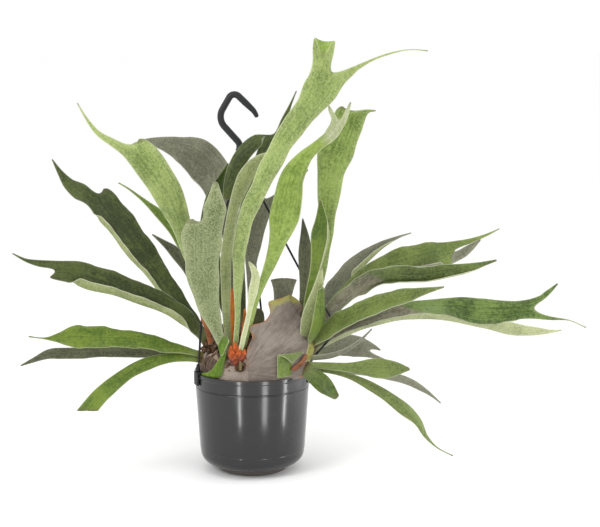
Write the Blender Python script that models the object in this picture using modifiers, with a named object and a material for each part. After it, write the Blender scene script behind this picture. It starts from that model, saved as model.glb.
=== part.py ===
"""A staghorn fern in a plastic hanging pot with its hanger, standing on its drip saucer.

Metres, +Z up. The origin is the middle of the saucer's underside, and the plant's front faces -Y.
"""

import bpy
import math
from mathutils import Matrix, Vector

MM = 0.001
GAP = 0.3 * MM  # what two pieces that touch are kept apart by

# Pot and saucer, in millimetres
RIM_RADIUS = 78.5
RIM_TOP = 138
RIM_BAND = 20
SHOULDER_RADIUS = 77.2
LOW_RADIUS = 70.5
LOW_CORNER = 26
POT_WALL = 2
POT_FLOOR = 9
POT_FLOOR_RADIUS = 52
FOOT_RING_RADIUS = 41
SAUCER_RADIUS = 49
SAUCER_HEIGHT = 8.6
SAUCER_WALL = 2
TURNED_STEPS = 36
RIM_THICKNESS = 3.2
EDGE_ROUNDING = 1.2
BAND_STEP = 0.8
FOOT_RING_WALL = 3

# Potting mix, and the mound of old shield fronds on it
MIX_TOP = 124
MIX_CLEARANCE = 1.6
MOUND_RADIUS = 69
MOUND_TOP = 182
MOUND_SQUARENESS = 2.3

# Crowns: centre and radii, in millimetres
CROWNS = {
    "crown_front": ((-20, -52, 160), (15, 13, 14)),
    "crown_left": ((-50, -2, 162), (18, 18, 20)),
    "crown_left_back": ((-44, 35, 172), (16, 16, 18)),
    "crown_back": ((-12, 12, 184), (22, 15, 13)),
    "crown_back_right": ((34, 32, 170), (14, 13, 14)),
    "crown_right": ((62, -2, 168), (20, 19, 20)),
    "crown_low_right": ((58, -31, 151), (13, 12, 12)),
}
CROWN_RINGS = 7
CROWN_SEGMENTS = 12

# Fronds
BLADE_THICKNESS = 1.6
ROW_SPACING = 22
BLADE_CUP = 0.12

# Hanger, in millimetres
HOOK_THICKNESS = 9
HOOK_FOOT = (-16, 15, 436)
HOOK_BENDS = (  # each straight leg, then the radius of the bend after it and its turn to the right
    (4, 10, -42),
    (26, 20, 72),
    (18, 8, 104),
    (25, 24, 26),
)
BEND_STEP = 15
COLLAR_HEIGHT = 9
STRAP_THICKNESS = 3
STRAP_SPREAD = 3.6
STRAP_AZIMUTHS = {"left": 202, "back": 78, "right": 351}
STRAP_BOWS = {"left": (0, 2, 6, 9, 7, 0), "back": (0, 3, 7, 10, 8, 0), "right": (0, 11, 23, 36, 52, 0)}
CLIP_WIDTH = 14
CLIP_DROP = 16
CLIP_LIP = 5
CLIP_WALL = 2.4


# ---------------------------------------------------------------- scene and finishes


def clear_scene():
    for item in list(bpy.data.objects):
        bpy.data.objects.remove(item, do_unlink=True)


def new_collection(name, hidden=False):
    collection = bpy.data.collections.new(name)
    collection.hide_render = hidden
    bpy.context.scene.collection.children.link(collection)
    return collection


def finish(name, colour, roughness, metallic=0.0):
    material = bpy.data.materials.new(name)
    material.use_nodes = True
    shader = material.node_tree.nodes["Principled BSDF"]
    shader.inputs["Base Color"].default_value = (*colour, 1)
    shader.inputs["Roughness"].default_value = roughness
    shader.inputs["Metallic"].default_value = metallic
    return material


def place(name, data, collection, material=None):
    item = bpy.data.objects.new(name, data)
    collection.objects.link(item)
    if material:
        data.materials.append(material)
    return item


def hide(item):
    item.hide_render = True
    item.display_type = "WIRE"
    return item


# ---------------------------------------------------------------- turned and routed pieces


def turned(name, profile, collection, material, steps=TURNED_STEPS):
    """A profile of (radius, height) in millimetres, run from the top of the inside down the outside."""
    mesh = bpy.data.meshes.new(name)
    points = [(radius * MM, 0, height * MM) for radius, height in profile]
    mesh.from_pydata(points, [(i, i + 1) for i in range(len(points) - 1)], [])
    item = place(name, mesh, collection, material)
    screw = item.modifiers.new("turn", "SCREW")
    screw.steps = steps
    screw.render_steps = steps
    screw.use_merge_vertices = True
    screw.merge_threshold = 0.0001
    return item


def through(values, t):
    """A smooth run through evenly spaced values, at t from 0 to 1."""
    last = len(values) - 1
    if last == 0:
        return values[0]
    place_along = min(max(t, 0), 1) * last
    i = min(int(place_along), last - 1)
    f = place_along - i
    a, b, c, d = (values[min(max(j, 0), last)] for j in (i - 1, i, i + 1, i + 2))
    return b + 0.5 * f * (c - a + f * (2 * a - 5 * b + 4 * c - d + f * (3 * (b - c) + d - a)))


def rod(name, points, thickness, collection, material, sides=1, radii=(1,)):
    """A round rod along points in metres. Its thickness follows radii, a share of the whole."""
    curve = bpy.data.curves.new(name, "CURVE")
    curve.dimensions = "3D"
    curve.bevel_depth = thickness * MM / 2
    curve.bevel_resolution = sides
    curve.use_fill_caps = True
    spline = curve.splines.new("POLY")
    spline.points.add(len(points) - 1)
    for i, (spot, point) in enumerate(zip(spline.points, points)):
        spot.co = (*point, 1)
        spot.radius = through(radii, i / (len(points) - 1))
    return place(name, curve, collection, material)


def ellipsoid(name, centre, radii, collection, material=None, grow=0.0):
    """An egg shape in millimetres, its poles up and down, swollen by grow."""
    mesh = bpy.data.meshes.new(name)
    points = [(0, 0, -1)]
    for ring in range(1, CROWN_RINGS):
        polar = math.pi * ring / CROWN_RINGS
        for step in range(CROWN_SEGMENTS):
            turn = 2 * math.pi * step / CROWN_SEGMENTS
            out = math.sin(polar)
            points.append((out * math.cos(turn), out * math.sin(turn), -math.cos(polar)))
    points.append((0, 0, 1))
    top = len(points) - 1
    faces = []
    for step in range(CROWN_SEGMENTS):
        beside = (step + 1) % CROWN_SEGMENTS
        faces.append((0, 1 + beside, 1 + step))
        for ring in range(CROWN_RINGS - 2):
            low = 1 + ring * CROWN_SEGMENTS
            high = low + CROWN_SEGMENTS
            faces.append((low + step, low + beside, high + beside, high + step))
        last_ring = top - CROWN_SEGMENTS
        faces.append((last_ring + step, last_ring + beside, top))
    sized = [
        [(middle + axis * (radius + grow)) * MM for middle, axis, radius in zip(centre, point, radii)]
        for point in points
    ]
    mesh.from_pydata(sized, [], faces)
    return place(name, mesh, collection, material)


def cut(item, cutter):
    boolean = item.modifiers.new("cut", "BOOLEAN")
    boolean.operation = "DIFFERENCE"
    boolean.solver = "EXACT"
    boolean.object = cutter


def joined(item, other):
    boolean = item.modifiers.new("join", "BOOLEAN")
    boolean.operation = "UNION"
    boolean.solver = "EXACT"
    boolean.object = other


# ---------------------------------------------------------------- pot, saucer and mix


def pot_outside():
    """The outside of the pot from the rim to its floor: (radius, height) in millimetres."""
    band_foot = RIM_TOP - RIM_BAND
    profile = [
        (RIM_RADIUS - EDGE_ROUNDING, RIM_TOP),
        (RIM_RADIUS, RIM_TOP - EDGE_ROUNDING),
        (RIM_RADIUS, band_foot + BAND_STEP),
        (SHOULDER_RADIUS - BAND_STEP, band_foot),
        (SHOULDER_RADIUS, band_foot - EDGE_ROUNDING),
        (LOW_RADIUS + 0.7, LOW_CORNER + 1),
        (LOW_RADIUS, LOW_CORNER),
    ]
    corner_steps = 5
    across = LOW_RADIUS - POT_FLOOR_RADIUS
    down = LOW_CORNER - POT_FLOOR
    for i in range(1, corner_steps + 1):
        turn = math.pi / 2 * i / corner_steps
        radius = POT_FLOOR_RADIUS + across * math.cos(turn)
        profile.append((radius, LOW_CORNER - down * math.sin(turn)))
    return profile


def make_pot(collection, material):
    inside_floor = POT_FLOOR + POT_WALL
    ring_foot = SAUCER_WALL + GAP / MM
    profile = [
        (0, inside_floor),
        (POT_FLOOR_RADIUS - POT_WALL, inside_floor),
        (LOW_RADIUS - POT_WALL - 0.5, LOW_CORNER + POT_WALL),
        (RIM_RADIUS - RIM_THICKNESS, RIM_TOP),
        *pot_outside(),
        (FOOT_RING_RADIUS, POT_FLOOR),
        (FOOT_RING_RADIUS, ring_foot),
        (FOOT_RING_RADIUS - FOOT_RING_WALL, ring_foot),
        (FOOT_RING_RADIUS - FOOT_RING_WALL, POT_FLOOR),
        (0, POT_FLOOR),
    ]
    return turned("pot", profile, collection, material)


def make_saucer(collection, material):
    profile = [
        (0, SAUCER_WALL),
        (SAUCER_RADIUS - SAUCER_WALL - 1, SAUCER_WALL),
        (SAUCER_RADIUS - SAUCER_WALL, SAUCER_HEIGHT),
        (SAUCER_RADIUS, SAUCER_HEIGHT),
        (SAUCER_RADIUS, 2),
        (SAUCER_RADIUS - 2, 0),
        (0, 0),
    ]
    return turned("drip_saucer", profile, collection, material)


def make_mix(collection, material):
    inset = POT_WALL + MIX_CLEARANCE
    profile = [
        (0, MIX_TOP),
        (RIM_RADIUS - RIM_THICKNESS - MIX_CLEARANCE, MIX_TOP),
        (LOW_RADIUS - inset, LOW_CORNER + POT_WALL),
        (POT_FLOOR_RADIUS - inset, POT_FLOOR + POT_WALL + GAP / MM),
        (0, POT_FLOOR + POT_WALL + GAP / MM),
    ]
    return turned("potting_mix", profile, collection, material)


def mound_profile(grow):
    """The dome's outside from its top to its foot, swollen by grow."""
    steps = 8
    height = MOUND_TOP - MIX_TOP
    power = 2 / MOUND_SQUARENESS
    profile = []
    for i in range(steps + 1):
        turn = math.pi / 2 * i / steps
        radius = (MOUND_RADIUS + grow) * math.sin(turn) ** power
        up = (height + grow) * max(math.cos(turn), 0) ** power
        profile.append((radius, MIX_TOP + GAP / MM + up if i < steps else MIX_TOP + GAP / MM))
    return profile


def make_mound(name, collection, material=None, grow=0.0):
    foot = MIX_TOP + GAP / MM
    return turned(name, [*mound_profile(grow), (0, foot)], collection, material, steps=28)


# ---------------------------------------------------------------- blades


def grow_blade(start, length, leans, aways, turns, widths, rows):
    """Stations along a blade: its middle, the way across it, the way it faces, and half its width.

    A lean is the angle in the front plane: 0 is to the right, 90 is up and 180 is to the left.
    An away angle points the blade behind that plane, or in front of it where it is negative.
    A turn rolls the blade about its own length, and at 0 its flat side faces the front.
    """
    spot = Vector(start)
    stations = []
    for i in range(rows + 1):
        t = i / rows
        lean = math.radians(through(leans, t))
        away = math.radians(through(aways, t))
        ahead = Vector((math.cos(lean) * math.cos(away), math.sin(away), math.sin(lean) * math.cos(away)))
        level = Vector((-math.sin(lean), 0, math.cos(lean)))
        across = Matrix.Rotation(math.radians(through(turns, t)), 3, ahead) @ level
        half = max(through(widths, t), 1.2) / 2 * MM
        stations.append((spot.copy(), across, ahead.cross(across), half))
        spot += ahead * (length * MM / rows)
    return stations


def blade_row(station, columns, cup):
    middle, across, facing, half = station
    row = []
    for i in range(columns + 1):
        u = 2 * i / columns - 1
        row.append(middle + across * (half * u) - facing * (half * cup * u * u))
    return row


def rows_for(length):
    return max(3, round(length / ROW_SPACING))


class Blade:
    """Collects the points and faces of one forked blade."""

    def __init__(self):
        self.points = []
        self.faces = []

    def add_row(self, row):
        first = len(self.points)
        self.points.extend(row)
        return list(range(first, len(self.points)))

    def bridge(self, low, high):
        for i in range(len(low) - 1):
            self.faces.append((low[i], high[i], high[i + 1], low[i + 1]))


def make_blade(name, start, spec, collection, material, cutter, cup=BLADE_CUP):
    """A blade from a crown, with a lobe to each side of its end where it forks."""
    length, leans, aways, turns, widths = spec[:5]
    lobes = spec[5:]
    columns = 4 if lobes else 2
    blade = Blade()
    stations = grow_blade(start, length, leans, aways, turns, widths, rows_for(length))
    rows = [blade.add_row(blade_row(station, columns, cup)) for station in stations]
    for low, high in zip(rows, rows[1:]):
        blade.bridge(low, high)
    end_middle, end_across, end_facing, end_half = stations[-1]
    for side, lobe in zip((1, -1), lobes):
        lobe_length, lobe_leans, lobe_aways, lobe_turns, lobe_widths = lobe
        root = end_middle + end_across * (end_half * side / 2)
        widths_on = (end_half / MM, *lobe_widths)
        grown = grow_blade(
            root, lobe_length, lobe_leans, lobe_aways, lobe_turns, widths_on, rows_for(lobe_length)
        )
        half_row = rows[-1][2:] if side > 0 else rows[-1][:3]
        for station in grown[1:]:
            fresh = blade.add_row(blade_row(station, 2, cup))
            blade.bridge(half_row, fresh)
            half_row = fresh
    mesh = bpy.data.meshes.new(name)
    mesh.from_pydata(blade.points, [], blade.faces)
    item = place(name, mesh, collection, material)
    wall = item.modifiers.new("thickness", "SOLIDIFY")
    wall.thickness = BLADE_THICKNESS * MM
    wall.offset = 0
    cut(item, cutter)
    return item


# Each frond: crown, where it starts from that crown's centre, then
# (length, leans, aways, turns, widths, left lobe, right lobe), all in millimetres and degrees.
# A lobe is (length, leans, aways, turns, widths), and left and right are as the frond grows.
FRONDS = {
    "frond_tall": ("crown_front", (-2, -4, 4), (
        409, (84, 88, 85, 66, 62, 52, 64), (-12, -6, 0, 2), (20, 10, 15), (9, 12, 16, 22, 27, 33, 50),
        (76, (80, 86, 88, 88), (0, -20, -140, -160), (10, 0), (29, 27, 6)),
        (123, (32, 27, 20, 12, -2, -18), (6, 4), (-20, -10), (9, 4, 3, 2, 2)))),
    "frond_broad": ("crown_front", (-9, -2, 2), (
        206, (109, 106, 98, 89, 86), (-26, -16, -6), (10,), (8, 17, 34, 46, 54),
        (12, (110, 100), (0,), (5,), (22, 8)),
        (53, (88, 84, 88), (0,), (5,), (32, 21, 17, 6)))),
    "frond_arching": ("crown_front", (-8, 4, 6), (
        292, (95, 92, 89, 82, 73, 52, -5), (-2, 4, 4), (25, 10, 30), (8, 16, 17, 14, 15, 24, 12))),
    "frond_right_face": ("crown_front", (7, -4, 5), (
        346, (77, 74, 68, 73, 80, 65, 36, 78), (2, 4, 0), (20, -10), (8, 9, 10, 20, 37, 33, 15, 19),
        (22, (116, 112), (-8,), (0,), (9, 2)),
        (28, (72, 66, 72), (0,), (0,), (8, 2)))),
    "frond_small": ("crown_front", (4, -7, 3), (
        148, (79, 77, 80, 87, 152), (-26, -12, -4, -40), (20,), (7, 8, 9, 13, 6))),
    "frond_crooked": ("crown_back", (2, -5, 4), (
        276, (96, 92, 88, 74, 68, 62), (-6, 2), (30,), (9, 16, 17, 16, 20, 26),
        (112, (205, 228, 246, 257, 264), (-4,), (20,), (24, 24, 22, 12)),
        (74, (70, 68, 66, 66, 64), (2,), (10,), (14, 9, 5, 2)))),
    "frond_inner": ("crown_back", (-14, -5, 4), (
        238, (109, 105, 98, 88, 68, 66), (-2, 6), (20, 10), (9, 16, 22, 30, 24, 2))),
    "frond_upper_left": ("crown_back", (-8, 6, 6), (
        392, (94, 95, 99, 115, 155, 180, 216), (14, 26, 30), (0, 5, 20), (9, 14, 24, 41, 44, 11, 2))),
    "frond_back_mid": ("crown_back", (11, 6, 5), (
        178, (90, 91, 86, 76, 66), (8, 4), (10,), (9, 10, 16, 28, 30),
        (30, (100,), (6,), (0,), (14, 6)),
        (70, (38, 42, 42), (10,), (0,), (14, 3)))),
    "frond_back_round": ("crown_back", (17, -2, 2), (
        34, (84, 90), (0,), (0,), (14, 22, 14))),
    "frond_back_upright": ("crown_back_right", (4, 2, 4), (
        86, (86, 85, 86), (12, 16, 62), (0,), (14, 22, 36, 36))),
    "frond_right_tall": ("crown_right", (6, 6, 8), (
        319, (74, 76, 81, 85, 84, 67, 78), (8, 8), (-10, 0), (10, 14, 18, 22, 34, 50, 44),
        (22, (72, 62, 52), (6,), (0,), (10, 3)),
        (24, (20, 5, -5), (0,), (0,), (8, 2)))),
    "frond_right_short": ("crown_right", (3, -9, 8), (
        198, (78, 79, 79, 82, 88, 102), (-10, 0, 6), (-15, 0), (8, 11, 14, 17, 25, 3))),
    "frond_spike": ("crown_right", (-1, -3, 9), (
        170, (78, 80, 82, 87, 95, 98), (-7, 3), (10,), (8, 8, 9, 18, 17, 2))),
    "frond_folded": ("crown_right", (5, -12, 4), (
        130, (74, 80, 84), (-32, -12), (20, -10), (9, 22, 20, 12, 3))),
    "frond_right_grey": ("crown_right", (5, 14, 8), (
        262, (54, 52, 47, 33, 17, 8), (36, 38), (-40, -25), (10, 20, 31, 23, 9, 2))),
    "frond_right_wide": ("crown_right", (13, 6, 4), (
        284, (55, 47, 36, 22, 9, 2, 3), (26, 34), (-35, -20), (10, 18, 26, 33, 40, 42, 34),
        (89, (8, 16, 20), (24,), (-15,), (10, 6, 2)),
        (48, (28,), (14,), (-15,), (13, 3)))),
    "frond_right_twist": ("crown_right", (13, 1, 1), (
        311, (56, 48, 29, 0, 4, 10, 14), (12, 14), (10, 25, -20), (10, 20, 26, 26, 22, 15, 3))),
    "frond_right_front": ("crown_right", (13, -7, 3), (
        235, (46, 33, 22, 19), (-28, -32), (-45, -30), (12, 27, 27, 26, 17, 2))),
    "frond_right_long": ("crown_right", (14, -3, -3), (
        314, (36, 24, 18, 6, -8, 3, 5), (-6, -2), (-25, -10), (9, 12, 13, 14, 19, 22, 37, 28, 26),
        (45, (28, 40, 46, 50), (0,), (0,), (11, 8, 2)),
        (75, (-12, -8, -8, -32, -58), (-3,), (0,), (9, 3, 2, 2)))),
    "frond_right_under": ("crown_right", (14, 3, -8), (
        373, (27, 20, 6, -8, -13, -8, 6), (8, 14), (15, 0), (8, 8, 9, 9, 13, 18, 2))),
    "frond_low_grey": ("crown_right", (12, 6, -13), (
        94, (20, 3, -14, -26), (20,), (20, 0), (12, 28, 35, 22),
        (17, (-24, -30), (20,), (0,), (8, 2)),
        (30, (-22, -24), (20,), (0,), (7, 2)))),
    "frond_low_thin": ("crown_low_right", (5, 5, 6), (
        114, (8, 12, 32, 44, 58), (-14, -8), (0,), (8, 11, 11, 9, 2))),
    "frond_low_green": ("crown_low_right", (8, -2, 1), (
        161, (4, 3, 6, 3, 6), (-32, -24), (-20,), (9, 9, 12, 20, 27, 3))),
    "frond_low_back": ("crown_low_right", (8, 6, -3), (
        212, (-8, -8, -13, -32, -48), (10, 14), (-30, -20), (8, 10, 12, 11, 2))),
    "frond_low_droop": ("crown_low_right", (9, 1, -4), (
        246, (-3, -7, -17, -28, -31, -40, -60, -24, -26), (-18, -26), (-25, -10),
        (8, 7, 8, 12, 15, 18, 10, 3, 2))),
    "frond_low_short": ("crown_low_right", (6, -6, -1), (
        76, (-26, -36, -42), (-42, -30), (-10,), (12, 19, 24, 20, 8))),
    "frond_left_bright": ("crown_left_back", (-7, -8, 6), (
        290, (105, 105, 105, 107, 114, 124, 129), (-10, -8), (10,), (9, 12, 17, 25, 35, 44, 37),
        (95, (150, 150, 134, 123, 118, 116), (-8,), (15,), (15, 10, 7, 4, 2)),
        (9, (110, 100), (-4,), (0,), (14, 8)))),
    "frond_left_dark": ("crown_left", (-7, 9, 7), (
        264, (126, 128, 128, 129, 131, 130), (12, 24), (30, 20), (9, 21, 28, 38, 41, 40),
        (83, (147, 147, 131, 124, 122), (12,), (15,), (28, 25, 15, 8, 2)),
        (8, (128, 120), (8,), (0,), (12, 6)))),
    "frond_left_long": ("crown_left", (-9, -3, 6), (
        243, (118, 134, 151, 156, 159, 163, 176), (-10, -20), (35, 20), (9, 20, 27, 29, 32, 34, 26),
        (9, (195, 200), (-10,), (10,), (9, 3)),
        (60, (176, 164, 150, 150), (-8,), (10,), (13, 9, 5, 2)))),
    "frond_left_low": ("crown_left", (-10, -7, -4), (
        250, (162, 162, 163, 167, 173, 172, 182, 170, 158), (-16, -28), (40, 30),
        (9, 11, 20, 24, 26, 31, 31, 6, 2))),
    "frond_left_low_grey": ("crown_left", (-12, 3, -8), (
        260, (177, 176, 175, 179, 181, 185, 183, 209, 189), (0, 6), (20,),
        (8, 9, 12, 15, 16, 16, 17, 11, 2))),
    "frond_left_droop": ("crown_left", (-11, -7, -11), (
        196, (166, 180, 195, 209, 223, 232), (-14, -40, -20), (35, 15), (9, 13, 17, 19, 21, 24))),
    "frond_left_short": ("crown_left_back", (-11, 1, 1), (
        175, (104, 110, 122, 142, 145), (16,), (20,), (9, 14, 20, 18, 2))),
    "frond_left_thin": ("crown_left_back", (-4, 10, 6), (
        306, (108, 113, 122, 127, 142, 147, 160), (34, 34), (25,), (9, 13, 17, 19, 16, 6, 2))),
}

# Shield fronds: the finish, where each starts, how deep its cup is, and the same values as a frond.
SHIELDS = {
    "shield_papery": ("papery", (13, -68, 143), 0.42, (
        104, (84, 78, 74, 84), (30, 36, 14, -4), (0,), (56, 92, 88, 62, 34))),
    "shield_old_front": ("old", (-28, -66, 141), 0.3, (
        16, (90, 94), (40,), (-20,), (30, 26, 12))),
    "shield_young": ("young", (-40, -40, 150), 0.12, (
        50, (110, 140, 190), (-26,), (20,), (14, 22, 12))),
    "shield_green": ("young", (52, -58, 145.6), 0.12, (
        26, (170, 184), (-42, -26), (0,), (12, 18, 12))),
}


# ---------------------------------------------------------------- hanger


def on_rim(azimuth, radius, height):
    turn = math.radians(azimuth)
    return Vector((radius * math.cos(turn), radius * math.sin(turn), height)) * MM


def hook_line():
    """The middle of the hook's rod, from its foot: every leg runs straight and then bends."""
    spot = Vector(HOOK_FOOT)
    heading = 90
    line = [spot.copy()]

    def go(length):
        nonlocal spot
        turn = math.radians(heading)
        spot = spot + Vector((math.cos(turn), 0, math.sin(turn))) * length
        line.append(spot.copy())

    for leg, radius, bend in HOOK_BENDS:
        go(leg)
        steps = math.ceil(abs(bend) / BEND_STEP)
        half = bend / steps / 2
        for _ in range(steps):
            heading -= half
            go(2 * radius * math.sin(math.radians(abs(half))))
            heading -= half
    return [point * MM for point in line]


def make_hook(collection, material):
    line = hook_line()
    below = [line[0] - Vector((0, 0, COLLAR_HEIGHT * MM)), line[0] - Vector((0, 0, 3 * MM))]
    swell = (1.3, 1, 1, 1, 1, 0.6)
    return rod("hanger_hook", below + line[1:], HOOK_THICKNESS, collection, material, 3, swell)


def make_clip(side, collection, material):
    """A plate bent over the rim, from inside the pot to the outside of the rim band."""
    name = f"rim_clip_{side}"
    inside = RIM_RADIUS - 4.4
    outside = RIM_RADIUS + GAP / MM
    over = RIM_TOP + GAP / MM
    outline = [
        (inside - CLIP_WALL, over - CLIP_LIP),
        (inside, over - CLIP_LIP),
        (inside, over),
        (outside, over),
        (outside, over - CLIP_DROP),
        (outside + CLIP_WALL, over - CLIP_DROP),
        (outside + CLIP_WALL, over + CLIP_WALL),
        (inside - CLIP_WALL, over + CLIP_WALL),
    ]
    curve = bpy.data.curves.new(name, "CURVE")
    curve.dimensions = "2D"
    curve.fill_mode = "BOTH"
    curve.extrude = CLIP_WIDTH / 2 * MM
    spline = curve.splines.new("POLY")
    spline.points.add(len(outline) - 1)
    spline.use_cyclic_u = True
    for spot, (radius, height) in zip(spline.points, outline):
        spot.co = (radius * MM, height * MM, 0, 1)
    item = place(name, curve, collection, material)
    upright = Matrix.Rotation(math.radians(90), 4, "X")
    item.matrix_world = Matrix.Rotation(math.radians(STRAP_AZIMUTHS[side]), 4, "Z") @ upright
    return item


def make_strap(side, collection, material):
    """A slack strap from under the hook's collar to the top of its rim clip, bowed outwards."""
    azimuth = STRAP_AZIMUTHS[side]
    outward = on_rim(azimuth, 1, 0).normalized()
    collar_foot = (Vector(HOOK_FOOT) - Vector((0, 0, COLLAR_HEIGHT))) * MM
    top = collar_foot - Vector((0, 0, GAP)) + outward * STRAP_SPREAD * MM
    start = top - Vector((0, 0, 4 * MM))
    foot = on_rim(azimuth, RIM_RADIUS - 1, RIM_TOP + CLIP_WALL + 1.2)
    points = [top]
    count = 16
    for i in range(count):
        t = i / (count - 1)
        points.append(start.lerp(foot, t) + outward * through(STRAP_BOWS[side], t) * MM)
    return rod(f"hanger_strap_{side}", points, STRAP_THICKNESS, collection, material)


# ---------------------------------------------------------------- assembly


def main():
    clear_scene()
    plant = new_collection("staghorn_fern_in_hanging_pot")
    cutters = new_collection("cutters", hidden=True)
    dark_plastic = finish("dark_plastic", (0.035, 0.035, 0.04), 0.3)
    strap_plastic = finish("strap_plastic", (0.01, 0.01, 0.01), 0.45)
    peat = finish("peat", (0.05, 0.03, 0.02), 0.95)
    old_shield = finish("old_shield", (0.16, 0.09, 0.05), 0.9)
    bud_scales = finish("bud_scales", (0.45, 0.12, 0.03), 0.85)
    antler_green = finish("antler_green", (0.12, 0.22, 0.05), 0.6)
    shield_finishes = {
        "old": old_shield,
        "papery": finish("papery_shield", (0.35, 0.29, 0.24), 0.85),
        "young": finish("green_shield", (0.22, 0.32, 0.08), 0.6),
    }

    make_pot(plant, dark_plastic)
    make_saucer(plant, dark_plastic)
    make_mix(plant, peat)
    mound = make_mound("shield_mound", plant, old_shield)
    seat = hide(make_mound("seat_cutter", cutters, grow=GAP / MM))
    for name, (centre, radii) in CROWNS.items():
        ellipsoid(name, centre, radii, plant, bud_scales)
        swollen = hide(ellipsoid(f"{name}_cutter", centre, radii, cutters, grow=GAP / MM))
        cut(mound, swollen)
        joined(seat, swollen)
    for name, (crown, offset, spec) in FRONDS.items():
        start = (Vector(CROWNS[crown][0]) + Vector(offset)) * MM
        make_blade(name, start, spec, plant, antler_green, seat)
    for name, (look, start, cup, spec) in SHIELDS.items():
        make_blade(name, Vector(start) * MM, spec, plant, shield_finishes[look], seat, cup)
    make_hook(plant, dark_plastic)
    for side in STRAP_AZIMUTHS:
        make_clip(side, plant, strap_plastic)
        make_strap(side, plant, strap_plastic)


main()
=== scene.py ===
"""A staghorn fern in its hanging pot: every visible piece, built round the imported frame.

Metres, +Z up, the plant's front faces -Y. Growth values are in millimetres and degrees.
"""

import math
import random

import bpy
from mathutils import Matrix, Vector, kdtree, noise


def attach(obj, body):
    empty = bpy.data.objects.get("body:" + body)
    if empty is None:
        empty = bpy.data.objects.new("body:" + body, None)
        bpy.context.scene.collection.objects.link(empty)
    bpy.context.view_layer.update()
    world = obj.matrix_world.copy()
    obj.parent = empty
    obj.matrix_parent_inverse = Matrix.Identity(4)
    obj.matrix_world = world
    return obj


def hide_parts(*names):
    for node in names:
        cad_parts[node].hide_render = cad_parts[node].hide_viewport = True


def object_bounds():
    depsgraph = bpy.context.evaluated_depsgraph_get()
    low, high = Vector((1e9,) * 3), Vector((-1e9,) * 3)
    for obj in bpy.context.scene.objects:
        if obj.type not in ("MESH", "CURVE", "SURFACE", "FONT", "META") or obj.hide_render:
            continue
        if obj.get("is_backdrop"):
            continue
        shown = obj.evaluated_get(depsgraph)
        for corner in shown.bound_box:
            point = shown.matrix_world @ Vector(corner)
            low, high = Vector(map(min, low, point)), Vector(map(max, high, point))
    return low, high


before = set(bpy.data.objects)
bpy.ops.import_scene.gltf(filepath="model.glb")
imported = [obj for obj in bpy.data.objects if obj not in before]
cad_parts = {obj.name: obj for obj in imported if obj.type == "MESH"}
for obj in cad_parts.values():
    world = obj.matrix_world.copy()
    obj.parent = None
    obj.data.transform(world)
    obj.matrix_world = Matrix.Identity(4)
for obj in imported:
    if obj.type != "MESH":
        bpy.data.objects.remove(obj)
cad_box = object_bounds()

MM = 0.001
TO_MM = 1000  # from a finish's metres


# ---------------------------------------------------------------- finishes as expressions


def paint(red, green, blue):
    """A colour as a screen shows it, from 0 to 255, in the light's own scale."""
    shares = (red / 255, green / 255, blue / 255)
    return tuple(s / 12.92 if s < 0.04 else ((s + 0.055) / 1.055) ** 2.4 for s in shares)


def shade(colour, share):
    """The colour at a share of its brightness."""
    return tuple(c * share for c in colour)


def fill(tree, node, inputs):
    """Gives a node's sockets their values, or links where those come from other nodes."""
    for key, value in inputs.items():
        socket = node.inputs[key]
        source = getattr(value, "socket", value)
        if isinstance(source, bpy.types.NodeSocket):
            tree.links.new(source, socket)
        elif isinstance(value, tuple) and socket.type == "RGBA":
            socket.default_value = (*value, 1)
        else:
            socket.default_value = value


def add_node(tree, kind, settings, inputs):
    """A node of a kind, its settings first and then its sockets."""
    node = tree.nodes.new(kind)
    for key, value in (settings or {}).items():
        setattr(node, key, value)
    fill(tree, node, inputs or {})
    return node


class Value:
    """A number or a colour on its way through a finish. Sums on it add Math nodes."""

    def __init__(self, finish, socket):
        self.finish = finish
        self.socket = socket

    def sum(self, operation, *terms):
        return self.finish.node("Math", {"operation": operation}, dict(enumerate(terms)))

    def __add__(self, other):
        return self.sum("ADD", self, other)

    def __sub__(self, other):
        return self.sum("SUBTRACT", self, other)

    def __rsub__(self, other):
        return self.sum("SUBTRACT", other, self)

    def __mul__(self, other):
        return self.sum("MULTIPLY", self, other)

    def __truediv__(self, other):
        return self.sum("DIVIDE", self, other)

    def __pow__(self, other):
        return self.sum("POWER", self, other)

    __radd__ = __add__
    __rmul__ = __mul__

    def size(self):
        return self.sum("ABSOLUTE", self)

    def rise(self, low, high):
        """0 up to low, then smoothly to 1 at high."""
        ends = {"Value": self, "From Min": low, "From Max": high}
        return self.finish.node("MapRange", {"interpolation_type": "SMOOTHSTEP"}, ends)

    def fall(self, low, high):
        return 1 - self.rise(low, high)


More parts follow.
